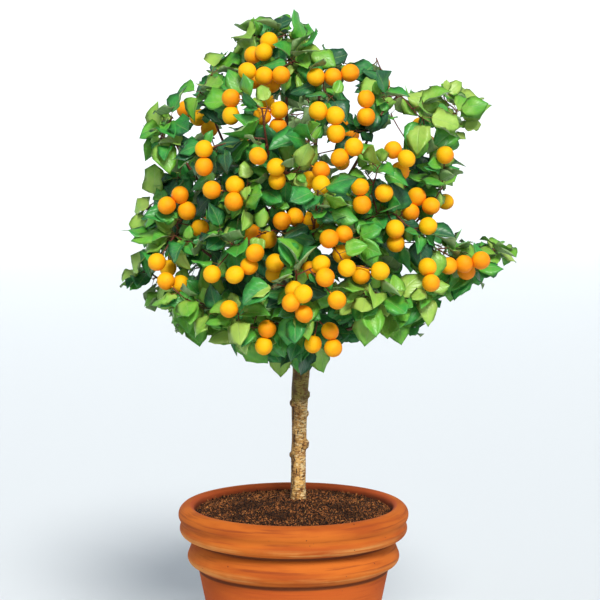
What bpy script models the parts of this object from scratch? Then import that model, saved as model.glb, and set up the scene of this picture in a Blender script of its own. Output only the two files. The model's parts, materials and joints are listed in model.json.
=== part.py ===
"""Potted apricot tree: a small standard apricot in a terracotta pot with a double rolled rim.

Metres, +Z up. The origin is the centre of the pot's underside, and the photograph looks along +Y.
The crown is grown: main branches reach for tips read from the photograph, twigs reach from them
for leaf rosettes and apricot bunches, and the leaves sit round the twigs.
"""

import math
import random

import bmesh
import bpy
from mathutils import Matrix, Vector
from mathutils.bvhtree import BVHTree

UP = Vector((0.0, 0.0, 1.0))
GAP = 0.0003

# Pot, turned
POT_HEIGHT = 0.380
LIP_RADIUS = 0.230
MOUTH_RADIUS = 0.199
NECK_RADIUS = 0.200
BAND_RADIUS = 0.212
WALL_TOP_RADIUS = 0.190
FOOT_RADIUS = 0.140
FLOOR_THICKNESS = 0.018
INNER_FLOOR_RADIUS = 0.123
POT_SIDES = 32
DRAIN_RADIUS = 0.011
DRAIN_CIRCLE = 0.070
DRAIN_COUNT = 3

# Potting soil, mounded to the stem
SOIL_EDGE_HEIGHT = 0.366
SOIL_TOP_HEIGHT = 0.391
SOIL_LUMP = 0.004

# Stem
STEM_X = 0.0095
STEM_FOOT_HEIGHT = 0.200
STEM_RADIUS = 0.0152
STEM_SIDES = 8
CROTCH_HEIGHT = 0.700
FORK = Vector((0.009, 0.0, 0.930))
STUB_LENGTH = 0.042
BRANCH_TIP_RADIUS = 0.0016

# Knots on the stem's sides: pixel and radius
KNOTS = [(309, 444, 0.0085), (289, 455, 0.0050), (307, 414, 0.0050), (290, 403, 0.0065), (308, 395, 0.0060)]

# Leaf, at its full size, and how far the tips of its three forms droop
PETIOLE = 0.018
BLADE = 0.058
BLADE_HALF_WIDTH = 0.0235
BLADE_THICKNESS = 0.0016
PETIOLE_RADIUS = 0.0009
PETIOLE_ROOT_RADIUS = 0.0004
TWIG_END_RADIUS = 0.0013
DROOPS = [0.004, 0.013, 0.024]

# Apricot
FRUIT_RADIUS = 0.0185
FRUIT_SPACING = 1.77 * FRUIT_RADIUS
FRUIT_SIDES = 6
FRUIT_RINGS = 4

# The photograph's view: 600 pixels square, 2 mm a pixel at the pot's rim
EYE = Vector((0.013, -4.5, 1.34))
LOOK_AT = Vector((0.013, 0.0, 0.79))
PIXELS = 600
PIXELS_PER_SLOPE = 2291.7
SIGHT = Vector((0.0, 1.0, 0.0))

# Crown: its centre line, its depth against its width, and its half width at each height
CROWN_X = 0.030
CROWN_DEPTH = 0.95
CROWN_HALF_WIDTHS = [
    (0.60, 0.02), (0.67, 0.12), (0.71, 0.21), (0.76, 0.28), (0.82, 0.34), (0.90, 0.34),
    (1.00, 0.30), (1.12, 0.32), (1.18, 0.29), (1.24, 0.20), (1.30, 0.12), (1.36, 0.02),
]

# The crown's edges in the photograph: row, left and right pixel; and the gaps seen through it
OUTLINE = [
    (8, 284, 290), (20, 244, 316), (30, 226, 328), (45, 226, 324), (60, 206, 352), (75, 203, 392),
    (80, 203, 455), (88, 185, 482), (100, 166, 480), (120, 150, 478), (130, 145, 476), (150, 150, 465),
    (170, 154, 456), (185, 145, 452), (200, 145, 440), (215, 128, 436), (230, 130, 450),
    (240, 140, 505), (252, 134, 512), (270, 122, 506), (285, 124, 480), (295, 130, 450),
    (305, 148, 432), (320, 166, 430), (335, 182, 414), (343, 200, 405), (352, 238, 344),
    (365, 244, 336), (378, 292, 326),
]
GAPS_SEEN = [
    (197, 128, 10), (180, 116, 8), (251, 127, 7), (297, 120, 7), (386, 136, 11), (412, 121, 8),
    (431, 129, 8), (455, 110, 8), (404, 84, 10), (264, 177, 4), (333, 178, 5), (314, 191, 7),
    (198, 270, 6), (404, 273, 6), (416, 250, 5), (420, 290, 5), (301, 203, 4),
]

# Main branches: height where each leaves the leader, its tip's pixel, the tip's depth, its radius
BRANCHES = [
    (0.930, (285, 42), 0.00, 0.0065),
    (0.930, (322, 54), 0.03, 0.0065),
    (0.895, (205, 84), -0.02, 0.0050),
    (0.840, (168, 126), 0.00, 0.0055),
    (0.785, (162, 208), -0.05, 0.0050),
    (0.728, (145, 268), 0.00, 0.0055),
    (0.712, (208, 304), -0.16, 0.0050),
    (0.900, (385, 80), 0.02, 0.0050),
    (0.830, (460, 104), 0.00, 0.0055),
    (0.770, (438, 190), -0.04, 0.0050),
    (0.740, (495, 248), 0.00, 0.0055),
    (0.720, (396, 304), -0.16, 0.0050),
    (0.880, (262, 108), -0.24, 0.0050),
    (0.815, (318, 190), -0.30, 0.0050),
    (0.750, (296, 270), -0.30, 0.0050),
    (0.880, (310, 105), 0.24, 0.0050),
    (0.800, (215, 195), 0.24, 0.0050),
    (0.800, (400, 190), 0.24, 0.0050),
    (0.840, (310, 205), 0.31, 0.0050),
    (0.745, (305, 285), 0.30, 0.0050),
]

# Leaf rosettes seen in the photograph, as pixels
SEEN_ROSETTES = [
    (254, 31), (286, 31), (314, 38), (294, 58), (234, 36), (216, 68), (196, 89), (178, 108),
    (156, 136), (250, 97), (240, 135), (315, 126), (307, 167), (291, 175), (248, 196), (240, 212),
    (148, 200), (139, 216), (172, 236), (299, 232), (211, 222), (262, 228), (144, 252), (130, 268),
    (223, 250), (267, 284), (310, 285), (202, 304), (238, 306), (283, 334), (242, 336), (325, 350),
    (376, 72), (401, 91), (441, 86), (468, 94), (419, 108), (450, 104), (431, 126), (464, 126),
    (380, 158), (369, 183), (444, 186), (432, 242), (450, 252), (484, 244), (506, 246), (433, 290),
    (395, 300), (392, 314), (357, 308), (369, 288), (361, 245), (335, 205), (395, 205), (174, 295),
]
HIDDEN_ROSETTES = 27

# Apricot bunches seen in the photograph, each a list of pixels from its first fruit on
SEEN_BUNCHES = [
    [(269, 41), (264, 52), (253, 55)],
    [(264, 76), (247, 71), (281, 75)],
    [(333, 77), (316, 77), (350, 73)],
    [(366, 99), (366, 118)],
    [(231, 98), (231, 117)],
    [(279, 110), (262, 116), (278, 127)],
    [(318, 111), (336, 116), (336, 134)],
    [(204, 149), (204, 167)],
    [(276, 167), (277, 181)],
    [(321, 170), (321, 184)],
    [(235, 185), (234, 201)],
    [(180, 195), (167, 205), (187, 211)],
    [(295, 217), (282, 220), (313, 222)],
    [(344, 234), (329, 238)],
    [(354, 147), (339, 158)],
    [(393, 150), (406, 158)],
    [(445, 155)],
    [(360, 187), (362, 205)],
    [(431, 206), (417, 197), (410, 213)],
    [(395, 229), (396, 244)],
    [(166, 281), (180, 285)],
    [(249, 266), (235, 274), (255, 252)],
    [(321, 264), (325, 276)],
    [(294, 290), (291, 301), (303, 292)],
    [(464, 264), (448, 265), (482, 260)],
    [(330, 331), (334, 352)],
    [(267, 329), (263, 349)],
]
FRUITS_IN_VIEW = [pixel for pixels in SEEN_BUNCHES for pixel in pixels]
HIDDEN_BUNCHES = 10

# How a twig ends: this far short of its rosette, with so many leaves, each given so many tries
ROSETTE_REACH = 0.022
LEAVES_ON_TIPS = (3, 2, 2)
LEAF_TRIES = 20


def seen_at(pixel, depth):
    """The point at this depth (Y) that the photograph shows at this pixel."""
    forward = (LOOK_AT - EYE).normalized()
    right = forward.cross(UP).normalized()
    ray = (forward * PIXELS_PER_SLOPE + right * (pixel[0] - PIXELS / 2)
           + right.cross(forward) * (PIXELS / 2 - pixel[1]))
    return EYE + ray * ((depth - EYE.y) / ray.y)


def crown_half_width(height):
    """The crown's half width at a height."""
    for (low, narrow), (high, wide) in zip(CROWN_HALF_WIDTHS, CROWN_HALF_WIDTHS[1:]):
        if low <= height <= high:
            return narrow + (wide - narrow) * (height - low) / (high - low)
    return 0.02


def on_crown_front(pixel, share):
    """The point behind this pixel that lies at this share of the crown's depth, on the near side."""
    point = seen_at(pixel, 0.0)
    for _ in range(3):
        half = crown_half_width(point.z)
        inside = max(half * half - (point.x - CROWN_X) ** 2, 0.0)
        point = seen_at(pixel, -CROWN_DEPTH * share * math.sqrt(inside))
    return point


def shown_at(point):
    """The pixel at which the photograph shows a point."""
    forward = (LOOK_AT - EYE).normalized()
    right = forward.cross(UP).normalized()
    away = point - EYE
    scale = PIXELS_PER_SLOPE / away.dot(forward)
    return (PIXELS / 2 + away.dot(right) * scale,
            PIXELS / 2 - away.dot(right.cross(forward)) * scale)


def outline_at(down):
    """The crown's left and right edges on a row of the photograph."""
    for (high, left, right), (low, next_left, next_right) in zip(OUTLINE, OUTLINE[1:]):
        if high <= down <= low:
            share = (down - high) / (low - high)
            return left + (next_left - left) * share, right + (next_right - right) * share
    return 300.0, 240.0


def plain_material(name, colour, roughness):
    material = bpy.data.materials.new(name)
    material.use_nodes = True
    shader = material.node_tree.nodes["Principled BSDF"]
    shader.inputs["Base Color"].default_value = (*colour, 1.0)
    shader.inputs["Roughness"].default_value = roughness
    shader.inputs["Metallic"].default_value = 0.0
    return material


def add_object(name, mesh, collection, material=None):
    thing = bpy.data.objects.new(name, mesh)
    if material:
        mesh.materials.clear()
        mesh.materials.append(material)
    collection.objects.link(thing)
    return thing


def as_mesh(bm, name="body"):
    mesh = bpy.data.meshes.new(name)
    bm.to_mesh(mesh)
    bm.free()
    return mesh


def evaluated_mesh(thing):
    """The object's mesh with its modifiers applied."""
    return bpy.data.meshes.new_from_object(thing.evaluated_get(bpy.context.evaluated_depsgraph_get()))


def join_with(thing, others, operation="UNION", solver="MANIFOLD"):
    """One Boolean of this object and all the objects of a collection, which then go."""
    boolean = thing.modifiers.new("join", "BOOLEAN")
    boolean.operand_type = "COLLECTION"
    boolean.collection = others
    boolean.operation = operation
    boolean.solver = solver
    mesh = evaluated_mesh(thing)
    thing.modifiers.remove(boolean)
    thing.data = mesh
    for other in list(others.objects):
        bpy.data.objects.remove(other)


def prism(sides, stations, place):
    """A closed prism with a ring of corners at each station, moved to place(station, angle)."""
    bm = bmesh.new()
    bmesh.ops.create_cone(bm, cap_ends=True, segments=sides, radius1=1.0, radius2=1.0, depth=1.0)
    if stations > 2:
        upright = [edge for edge in bm.edges if abs(edge.verts[0].co.z - edge.verts[1].co.z) > 0.5]
        bmesh.ops.subdivide_edges(bm, edges=upright, cuts=stations - 2, use_grid_fill=True)
    for corner in bm.verts:
        station = round((corner.co.z + 0.5) * (stations - 1))
        corner.co = place(station, math.atan2(corner.co.y, corner.co.x))
    return bm


def tube(stations, sides, extra=0.0):
    """A tube through stations of (point, direction, radius), its rings square to the directions."""
    side = UP.cross(stations[0][1])
    if side.length < 0.1:
        side = Vector((1.0, 0.0, 0.0))
    frames = []
    for point, direction, radius in stations:
        side = (side - direction * side.dot(direction)).normalized()
        frames.append((point, side, direction.cross(side), radius + extra))

    def place(station, angle):
        point, across, other, radius = frames[station]
        return point + (across * math.cos(angle) + other * math.sin(angle)) * radius

    return prism(sides, len(frames), place)


def bezier_stations(start, start_way, end, end_way, radii, count, first=0.0):
    """Stations along a cubic curve, from the share `first` of it to its end."""
    reach = (end - start).length
    knots = [start, start + start_way * reach * 0.35, end - end_way * reach * 0.35, end]
    stations = []
    for step in range(count):
        t = first + (1.0 - first) * step / (count - 1)
        s = 1.0 - t
        point = (knots[0] * s ** 3 + knots[1] * 3 * s * s * t
                 + knots[2] * 3 * s * t * t + knots[3] * t ** 3)
        way = ((knots[1] - knots[0]) * s * s + (knots[2] - knots[1]) * 2 * s * t
               + (knots[3] - knots[2]) * t * t)
        stations.append((point, way.normalized(), radii[0] + (radii[1] - radii[0]) * t))
    return stations


class Growth:
    """What has been placed so far, kept as slightly fattened bodies that others must miss."""

    def __init__(self):
        self.bodies = []

    def add(self, tree, centre, reach, node, kind):
        self.bodies.append((tree, centre, reach, node, kind))

    def is_clear(self, tree, centre, reach, allowed):
        """Whether a body misses all others but those that allowed(node, kind) lets it touch."""
        for other, other_centre, other_reach, node, kind in self.bodies:
            near = (other_centre - centre).length < reach + other_reach
            if near and not allowed(node, kind) and tree.overlap(other):
                return False
        return True


def own_wood(node):
    """What a twig or leaf of a node may touch: that node's wood."""
    return lambda other, kind: other == node and kind == "wood"


def sphere_around(points):
    centre = sum(points, Vector()) / len(points)
    return centre, max((point - centre).length for point in points)


def template_of(bm):
    """Corners and faces of a form, to be tested wherever its matrix puts it."""
    bm.verts.index_update()
    corners = [vert.co.copy() for vert in bm.verts]
    faces = [[vert.index for vert in face.verts] for face in bm.faces]
    bm.free()
    return corners, faces


def placed(template, matrix):
    """A template's test tree, centre and reach at a matrix."""
    corners = [matrix @ corner for corner in template[0]]
    return (BVHTree.FromPolygons(corners, template[1]), *sphere_around(corners))


# The pot: a turned shell, double rolled lip, lower band, tapered wall, three drain holes
def pot_profile():
    """Radius and height from the centre of the underside's edge round to the inner floor."""
    def arc(centre, radius, start, end, steps):
        angles = [math.radians(start + (end - start) * step / steps) for step in range(steps + 1)]
        return [(centre[0] + radius * math.cos(a), centre[1] + radius * math.sin(a)) for a in angles]

    lip = arc((LIP_RADIUS - 0.019, POT_HEIGHT - 0.019), 0.019, 90, -40, 4)
    roll = arc((LIP_RADIUS - 0.018, POT_HEIGHT - 0.0465), 0.0155, 35, -62, 3)
    band = [(BAND_RADIUS - 0.004, 0.292), (BAND_RADIUS, 0.276), (BAND_RADIUS - 0.005, 0.265)]
    outside = lip + roll + [(NECK_RADIUS, 0.312)] + band + [(WALL_TOP_RADIUS, 0.248)]
    return ([(0.0, FLOOR_THICKNESS), (INNER_FLOOR_RADIUS, FLOOR_THICKNESS),
             (MOUTH_RADIUS, POT_HEIGHT - 0.008)] + outside + [(FOOT_RADIUS, 0.0), (0.0, 0.0)])


def make_pot(collection, cutters, material):
    mesh = bpy.data.meshes.new("pot")
    profile = [Vector((radius, 0.0, height)) for radius, height in pot_profile()]
    mesh.from_pydata(profile, [(i, i + 1) for i in range(len(profile) - 1)], [])
    pot = add_object("pot", mesh, collection, material)
    screw = pot.modifiers.new("turned", "SCREW")
    screw.steps = POT_SIDES
    screw.render_steps = POT_SIDES
    screw.use_merge_vertices = True
    screw.merge_threshold = 0.00001
    screw.use_smooth_shade = True
    for index in range(DRAIN_COUNT):
        bm = bmesh.new()
        bmesh.ops.create_cone(bm, cap_ends=True, segments=10, radius1=DRAIN_RADIUS,
                              radius2=DRAIN_RADIUS, depth=3 * FLOOR_THICKNESS)
        hole = add_object("drain_hole", as_mesh(bm), cutters)
        angle = 2 * math.pi * (index + 0.25) / DRAIN_COUNT
        hole.location = (DRAIN_CIRCLE * math.cos(angle), DRAIN_CIRCLE * math.sin(angle), 0.0)
    bpy.context.view_layer.update()
    join_with(pot, cutters, "DIFFERENCE", "EXACT")
    pot.modifiers.clear()
    return pot


def inner_radius(height):
    """The pot's inner wall at a height."""
    slope = (MOUTH_RADIUS - INNER_FLOOR_RADIUS) / (POT_HEIGHT - 0.008 - FLOOR_THICKNESS)
    return INNER_FLOOR_RADIUS + slope * (height - FLOOR_THICKNESS)


def stem_stations():
    """The stem from its buried foot through the crotch to the leader's fork."""
    outline = [
        (STEM_X, STEM_FOOT_HEIGHT, STEM_RADIUS), (STEM_X, 0.405, STEM_RADIUS),
        (0.0100, 0.455, 0.0148), (0.0112, 0.530, 0.0144), (0.0125, 0.600, 0.0168),
        (0.0155, 0.655, 0.0172), (0.0180, CROTCH_HEIGHT, 0.0172), (0.0165, 0.745, 0.0145),
        (0.0130, 0.800, 0.0122), (0.0100, 0.865, 0.0108), (FORK.x, FORK.z, 0.0090),
    ]
    points = [Vector((x, 0.0, z)) for x, z, _ in outline]
    stations = []
    for index, point in enumerate(points):
        before = points[max(index - 1, 0)]
        after = points[min(index + 1, len(points) - 1)]
        way = UP if index < 2 else (after - before).normalized()
        stations.append((point, way, outline[index][2]))
    return stations


def make_soil(collection, cutters, material, draw):
    """Soil that fills the pot, with a lumpy mounded top and a plain hole for the stem."""
    top_rings = [1.0, 0.66, 0.28]
    lumps = [[draw.uniform(-1.0, 1.0) for _ in range(POT_SIDES)] for _ in top_rings]
    bottom = FLOOR_THICKNESS + GAP
    edge_radius = inner_radius(SOIL_EDGE_HEIGHT) - GAP

    def place(station, angle):
        if station == 0:
            radius, height = inner_radius(bottom) - GAP, bottom
        else:
            share = top_rings[station - 1]
            radius = edge_radius * share
            height = SOIL_TOP_HEIGHT - (SOIL_TOP_HEIGHT - SOIL_EDGE_HEIGHT) * share ** 1.6
            if station > 1:
                spoke = round(angle / (2 * math.pi) * POT_SIDES) % POT_SIDES
                height += SOIL_LUMP * lumps[station - 1][spoke] * share
        return Vector((radius * math.cos(angle), radius * math.sin(angle), height))

    heap = prism(POT_SIDES, len(top_rings) + 1, place)
    soil = add_object("soil", as_mesh(heap), collection, material)
    foot, collar = stem_stations()[:2]
    hole = [(foot[0] - UP * GAP, UP, foot[2] + GAP), (collar[0] + UP * 0.05, UP, collar[2] + GAP)]
    add_object("stem_hole", as_mesh(tube(hole, STEM_SIDES)), cutters)
    join_with(soil, cutters, "DIFFERENCE", "EXACT")
    return soil


def grow_branch(start_height, pixel, depth, radius):
    """A main branch's curve: its stub on the stem's node, and the part beyond it."""
    stem = stem_stations()
    start = FORK.copy()
    for (low, *_), (high, *_) in zip(stem, stem[1:]):
        if low.z <= start_height < high.z:
            start = low.lerp(high, (start_height - low.z) / (high.z - low.z))
    tip = seen_at(pixel, depth)
    reach = tip - start
    outward = Vector((reach.x, reach.y, 0.0)).normalized()
    rise = math.atan2(reach.z, Vector((reach.x, reach.y)).length)

    def way(angle):
        return outward * math.cos(angle) + UP * math.sin(angle)

    beyond = bezier_stations(start, way(rise - 0.20), tip, way(min(rise + 0.35, 1.5)),
                             (radius, BRANCH_TIP_RADIUS), 6, STUB_LENGTH / reach.length)
    point, along, thick = beyond[0]
    stub = [(start, along, radius), (point, along, thick)]
    beyond[0] = (point + along * GAP, along, thick)
    return stub, beyond


def make_stem(collection, joints, material, stubs):
    """Stem, leader and the stubs of the main branches, with the knots of old pruning cuts."""
    stem = add_object("trunk", as_mesh(tube(stem_stations(), STEM_SIDES)), collection, material)
    for stub in stubs:
        add_object("stub", as_mesh(tube(stub, 5)), joints)
    for x, y, size in KNOTS:
        spot = seen_at((x, y), -0.004)
        inward = STEM_X + 0.003 - spot.x
        spot.x += math.copysign(size * 0.45, inward)
        knot = add_object("knot", as_mesh(ball(6, 4, size)), joints)
        knot.location = spot
    bpy.context.view_layer.update()
    join_with(stem, joints)
    return stem


def leaf_form(droop, extra=0.0):
    """A leaf along +Y, its face to +Z: petiole, two wide stations and a pointed tip."""
    stations = [
        (0.0, 0.0, PETIOLE_ROOT_RADIUS, PETIOLE_ROOT_RADIUS),
        (PETIOLE, 0.0030, PETIOLE_RADIUS, PETIOLE_RADIUS),
        (PETIOLE + BLADE * 0.27, 0.0030 - droop * 0.08, BLADE_HALF_WIDTH, BLADE_THICKNESS / 2),
        (PETIOLE + BLADE * 0.66, 0.0030 - droop * 0.45, BLADE_HALF_WIDTH * 0.76, BLADE_THICKNESS / 2),
        (PETIOLE + BLADE, 0.0030 - droop, 0.0, 0.0),
    ]

    def place(station, angle):
        along, height, half_width, half_thickness = stations[station]
        return Vector((math.cos(angle) / math.cos(math.pi / 6) * (half_width + extra), along,
                       height - math.sin(angle) * (half_thickness + extra)))

    bm = prism(3, len(stations), place)
    bmesh.ops.remove_doubles(bm, verts=bm.verts, dist=0.00001)
    return bm


def leaf_shows_well(matrix):
    """Whether a leaf lies in the crown, its tip a little out at most, and off the see-through gaps."""
    for across, along, margin in ((0.0, BLADE, 9), (0.8, BLADE * 0.4, 5), (-0.8, BLADE * 0.4, 5),
                                  (0.0, BLADE * 0.5, -2)):
        point = matrix @ Vector((across * BLADE_HALF_WIDTH, PETIOLE + along, 0.0))
        right, down = shown_at(point)
        edges = outline_at(down)
        if not edges[0] - margin <= right <= edges[1] + margin:
            return False
        if any(math.hypot(right - x, down - y) < radius for x, y, radius in GAPS_SEEN):
            return False
    return True


def covers_fruit(matrix):
    """Whether a near leaf hides an apricot that the photograph shows."""
    for across, along in ((0.0, 1.0), (0.6, 0.4), (-0.6, 0.4), (0.0, 0.5)):
        point = matrix @ Vector((across * BLADE_HALF_WIDTH, PETIOLE + BLADE * along, 0.0))
        right, down = shown_at(point)
        if point.y < 0.05 and any(math.hypot(right - x, down - y) < 7.5 for x, y in FRUITS_IN_VIEW):
            return True
    return False


def ball(sides, rings, radius):
    bm = bmesh.new()
    bmesh.ops.create_uvsphere(bm, u_segments=sides, v_segments=rings, radius=radius)
    return bm


def facing(axis_y, axis_z):
    """A rotation whose Y is the first way and whose Z leans to the second."""
    y = axis_y.normalized()
    x = y.cross(axis_z).normalized()
    return Matrix((x, y, x.cross(y))).transposed()


class Crown:
    """The crown in the making: what each node holds, and the wood that new twigs can leave from."""

    def __init__(self, branches):
        self.growth = Growth()
        self.wood = []
        self.pieces = {}
        self.fruit_template = template_of(ball(12, 8, FRUIT_RADIUS + 0.0008))
        self.leaf_templates = [template_of(leaf_form(droop, 0.0005)) for droop in DROOPS]
        for index, stations in enumerate(branches):
            name = f"leafy_branch_{index + 1:02d}"
            self.pieces[name] = []
            self.add_wood(name, stations, 5, 0.0)

    def add_wood(self, node, stations, sides, distance):
        """Keeps a tube, its test body, and points along it for what grows from it."""
        self.pieces[node].append(("tube", stations, sides))
        for before, after in zip(stations, stations[1:]):
            bm = tube([before, after], sides, 0.0006)
            centre, reach = sphere_around([vert.co for vert in bm.verts])
            self.growth.add(BVHTree.FromBMesh(bm), centre, reach, node, "wood")
            bm.free()
            length = (after[0] - before[0]).length
            steps = max(int(length / 0.010), 1)
            for step in range(steps):
                share = (step + 0.5) / steps
                point = before[0].lerp(after[0], share)
                way = before[1].lerp(after[1], share).normalized()
                radius = before[2] + (after[2] - before[2]) * share
                self.wood.append((point, way, radius, distance + length * share, node))
            distance += length
        self.wood.append((stations[-1][0], stations[-1][1], stations[-1][2], distance, node))

    def nearest_wood(self, target, count):
        """Places on the wood, best first: near the target, near the stem, and not turned back."""
        ranked = []
        for index, (point, way, radius, distance, node) in enumerate(self.wood):
            reach = target - point
            if reach.length < ROSETTE_REACH + 0.012:
                continue
            turn = reach.normalized().dot(way)
            cost = reach.length + 0.15 * distance + (0.06 * (0.3 - turn) if turn < 0.3 else 0.0)
            ranked.append((cost, index))
        ranked.sort()
        return [self.wood[index] for _, index in ranked[:count]]

    def grow_twig(self, target):
        """A twig from the wood towards a point, clear of all so far: its last two points and its node."""
        for point, way, radius, distance, node in self.nearest_wood(target, 30):
            reach = target - point
            start_way = (way * 0.5 + reach.normalized()).normalized()
            end_way = (reach.normalized() + UP * 0.35).normalized()
            thick = min(radius * 0.85, TWIG_END_RADIUS + reach.length * 0.010)
            end = target - reach.normalized() * ROSETTE_REACH
            stations = bezier_stations(point, start_way, end, end_way, (thick, TWIG_END_RADIUS), 3)
            bm = tube(stations, 3, 0.0006)
            centre, extent = sphere_around([vert.co for vert in bm.verts])
            tree = BVHTree.FromBMesh(bm)
            bm.free()
            if self.growth.is_clear(tree, centre, extent, own_wood(node)):
                self.add_wood(node, stations, 3, distance)
                return stations[-1][0], stations[-2][0], node
        return None

    def add_bunch(self, fruits):
        """Keeps a bunch of fruit centres if it misses all wood and fruit so far."""
        bodies = [placed(self.fruit_template, Matrix.Translation(centre)) for centre in fruits]
        if not all(self.growth.is_clear(*body, lambda other, kind: False) for body in bodies):
            return False
        name = f"apricots_{sum(key.startswith('apricots') for key in self.pieces) + 1:02d}"
        self.pieces[name] = []
        for body in bodies:
            self.growth.add(*body, name, "fruit")
        return name

    def hang_bunch(self, name, fruits):
        """A straight spur to the bunch's first fruit, whose pole meets the spur's end."""
        first = fruits[0]
        for point, way, radius, distance, node in self.nearest_wood(first + UP * 0.010, 60):
            reach = first - point
            if reach.length < FRUIT_RADIUS + 0.006:
                continue
            along = reach.normalized()
            end = first - along * (FRUIT_RADIUS + GAP)
            thick = min(radius * 0.8, 0.0020)
            stations = [(point, along, thick), (end, along, 0.0014)]
            bm = tube(stations, 3)
            centre, extent = sphere_around([vert.co for vert in bm.verts])
            tree = BVHTree.FromBMesh(bm)
            bm.free()

            def allowed(other, kind):
                return (other == node and kind == "wood") or other == name

            misses_bunch = all(passes_fruit(point, end, other) for other in fruits[1:])
            if misses_bunch and self.growth.is_clear(tree, centre, extent, allowed):
                self.add_wood(node, stations, 3, distance)
                axis = -along
                for index, centre in enumerate(fruits):
                    if index > 0:
                        nearest = min(fruits[:index], key=lambda other: (other - centre).length)
                        axis = (nearest - centre).normalized()
                    turn = UP.rotation_difference(axis).to_matrix().to_4x4()
                    self.pieces[name].append(("fruit", Matrix.Translation(centre) @ turn))
                return True
        return False

    def add_leaf(self, draw, root, way, node, size):
        """One leaf at a root, drawn again until it fits the crown and misses its neighbours."""
        for _ in range(LEAF_TRIES):
            spread = Vector((draw.uniform(-1, 1), draw.uniform(-1, 1), draw.uniform(-1, 1)))
            across = (spread - way * spread.dot(way)).normalized()
            lean = math.radians(draw.uniform(50, 88))
            along = way * math.cos(lean) + across * math.sin(lean) - UP * draw.uniform(-0.1, 0.45)
            outward = Vector((root.x - CROWN_X, root.y, 0.0)).normalized()
            sunny = (outward - SIGHT * max(0.0, 0.9 - 2.4 * max(root.y, 0.0))).normalized()
            along -= sunny * along.dot(sunny) * 0.6
            along = Vector((along.x, along.y, along.z * 0.7)) + outward * 0.25
            face = UP * 0.80 + sunny * 0.80 + spread * 0.45
            scale = size * draw.uniform(0.72, 1.12)
            kind = draw.randrange(len(DROOPS))
            matrix = Matrix.Translation(root) @ facing(along, face).to_4x4() @ Matrix.Scale(scale, 4)
            if not leaf_shows_well(matrix) or covers_fruit(matrix):
                continue
            body = placed(self.leaf_templates[kind], matrix)
            if self.growth.is_clear(*body, own_wood(node)):
                self.growth.add(*body, node, "leaf")
                self.pieces[node].append(("leaf", matrix, kind))
                return True
        return False


def passes_fruit(start, end, centre):
    """Whether a straight spur passes a fruit's centre at a safe distance."""
    along = end - start
    share = max(0.0, min(1.0, (centre - start).dot(along) / along.length_squared))
    return (start + along * share - centre).length > FRUIT_RADIUS + 0.003


def chained_bunch(pixels, share, side):
    """Centres of touching fruits: each is drawn to the nearest one before it."""
    fruits = [on_crown_front(pixels[0], share)]
    for pixel in pixels[1:]:
        wanted = seen_at(pixel, fruits[0].y)
        nearest = min(fruits, key=lambda other: (other - wanted).length)
        offset = wanted - nearest
        if offset.length > FRUIT_SPACING:
            offset = offset.normalized() * FRUIT_SPACING
        else:
            offset.y += side * math.sqrt(FRUIT_SPACING ** 2 - offset.length_squared)
        fruits.append(nearest + offset)
    return fruits


def grow_bunches(crown, draw):
    """Seen bunches on the crown's near side, then bunches round its far side."""
    hung = []
    for pixels in SEEN_BUNCHES:
        for attempt in range(24):
            side = draw.choice((-1.0, 1.0))
            fruits = chained_bunch(pixels, 0.90 - 0.03 * attempt, side)
            name = crown.add_bunch(fruits)
            if name:
                hung.append((name, fruits))
                break
    for index in range(HIDDEN_BUNCHES):
        for attempt in range(40):
            height = 0.74 + 0.50 * (index + 0.5) / HIDDEN_BUNCHES + draw.uniform(-0.02, 0.02)
            angle = math.pi * (0.5 + 0.47 * math.sin(2.4 * index + 1.0)) + draw.uniform(-0.15, 0.15)
            radius = crown_half_width(height) * draw.uniform(0.65, 0.92)
            first = Vector((CROWN_X + radius * math.cos(angle), radius * math.sin(angle), height))
            fruits = [first]
            for _ in range(draw.choice((1, 2))):
                way = Vector((draw.uniform(-1, 1), draw.uniform(-1, 1), draw.uniform(-1.0, 0.3)))
                fruits.append(fruits[-1] + way.normalized() * FRUIT_SPACING)
            apart = len(fruits) < 3 or (fruits[2] - fruits[0]).length > FRUIT_SPACING
            name = apart and crown.add_bunch(fruits)
            if name:
                hung.append((name, fruits))
                break
    return hung


def hidden_targets(draw, count):
    """Points over the crown's far half, spread by the golden angle."""
    golden = math.pi * (3.0 - math.sqrt(5.0))
    targets = []
    for index in range(count):
        height = 0.70 + 0.62 * (index + 0.5) / count
        angle = (golden * index) % math.pi
        radius = crown_half_width(height) * draw.uniform(0.80, 0.98)
        targets.append(Vector((CROWN_X + radius * math.cos(angle), radius * math.sin(angle), height)))
    return targets


def grow_crown(branches, draw):
    """The whole crown: branches, then bunches and twigs, then spurs, then leaves."""
    crown = Crown(branches)
    tips = [(stations[-1][0], stations[-2][0], f"leafy_branch_{index + 1:02d}")
            for index, stations in enumerate(branches)]
    bunches = grow_bunches(crown, draw)
    targets = [on_crown_front(pixel, draw.uniform(0.75, 1.0)) for pixel in SEEN_ROSETTES]
    targets += hidden_targets(draw, HIDDEN_ROSETTES)
    centre = Vector((CROWN_X, 0.0, 0.90))
    targets.sort(key=lambda target: (target - centre).length)
    for target in targets:
        tip = crown.grow_twig(target)
        if tip:
            tips.append(tip)
    for name, fruits in bunches:
        if not crown.hang_bunch(name, fruits):
            del crown.pieces[name]
            print("no spur reaches", name)
    for number, (end, before, node) in enumerate(tips):
        way = (end - before).normalized()
        spacing = min(0.006, 0.45 * ((end - before).length - 0.002))
        for index in range(LEAVES_ON_TIPS[number % len(LEAVES_ON_TIPS)]):
            root = end - way * (0.0015 + spacing * index)
            crown.add_leaf(draw, root, way, node, 1.0)
    return crown


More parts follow.
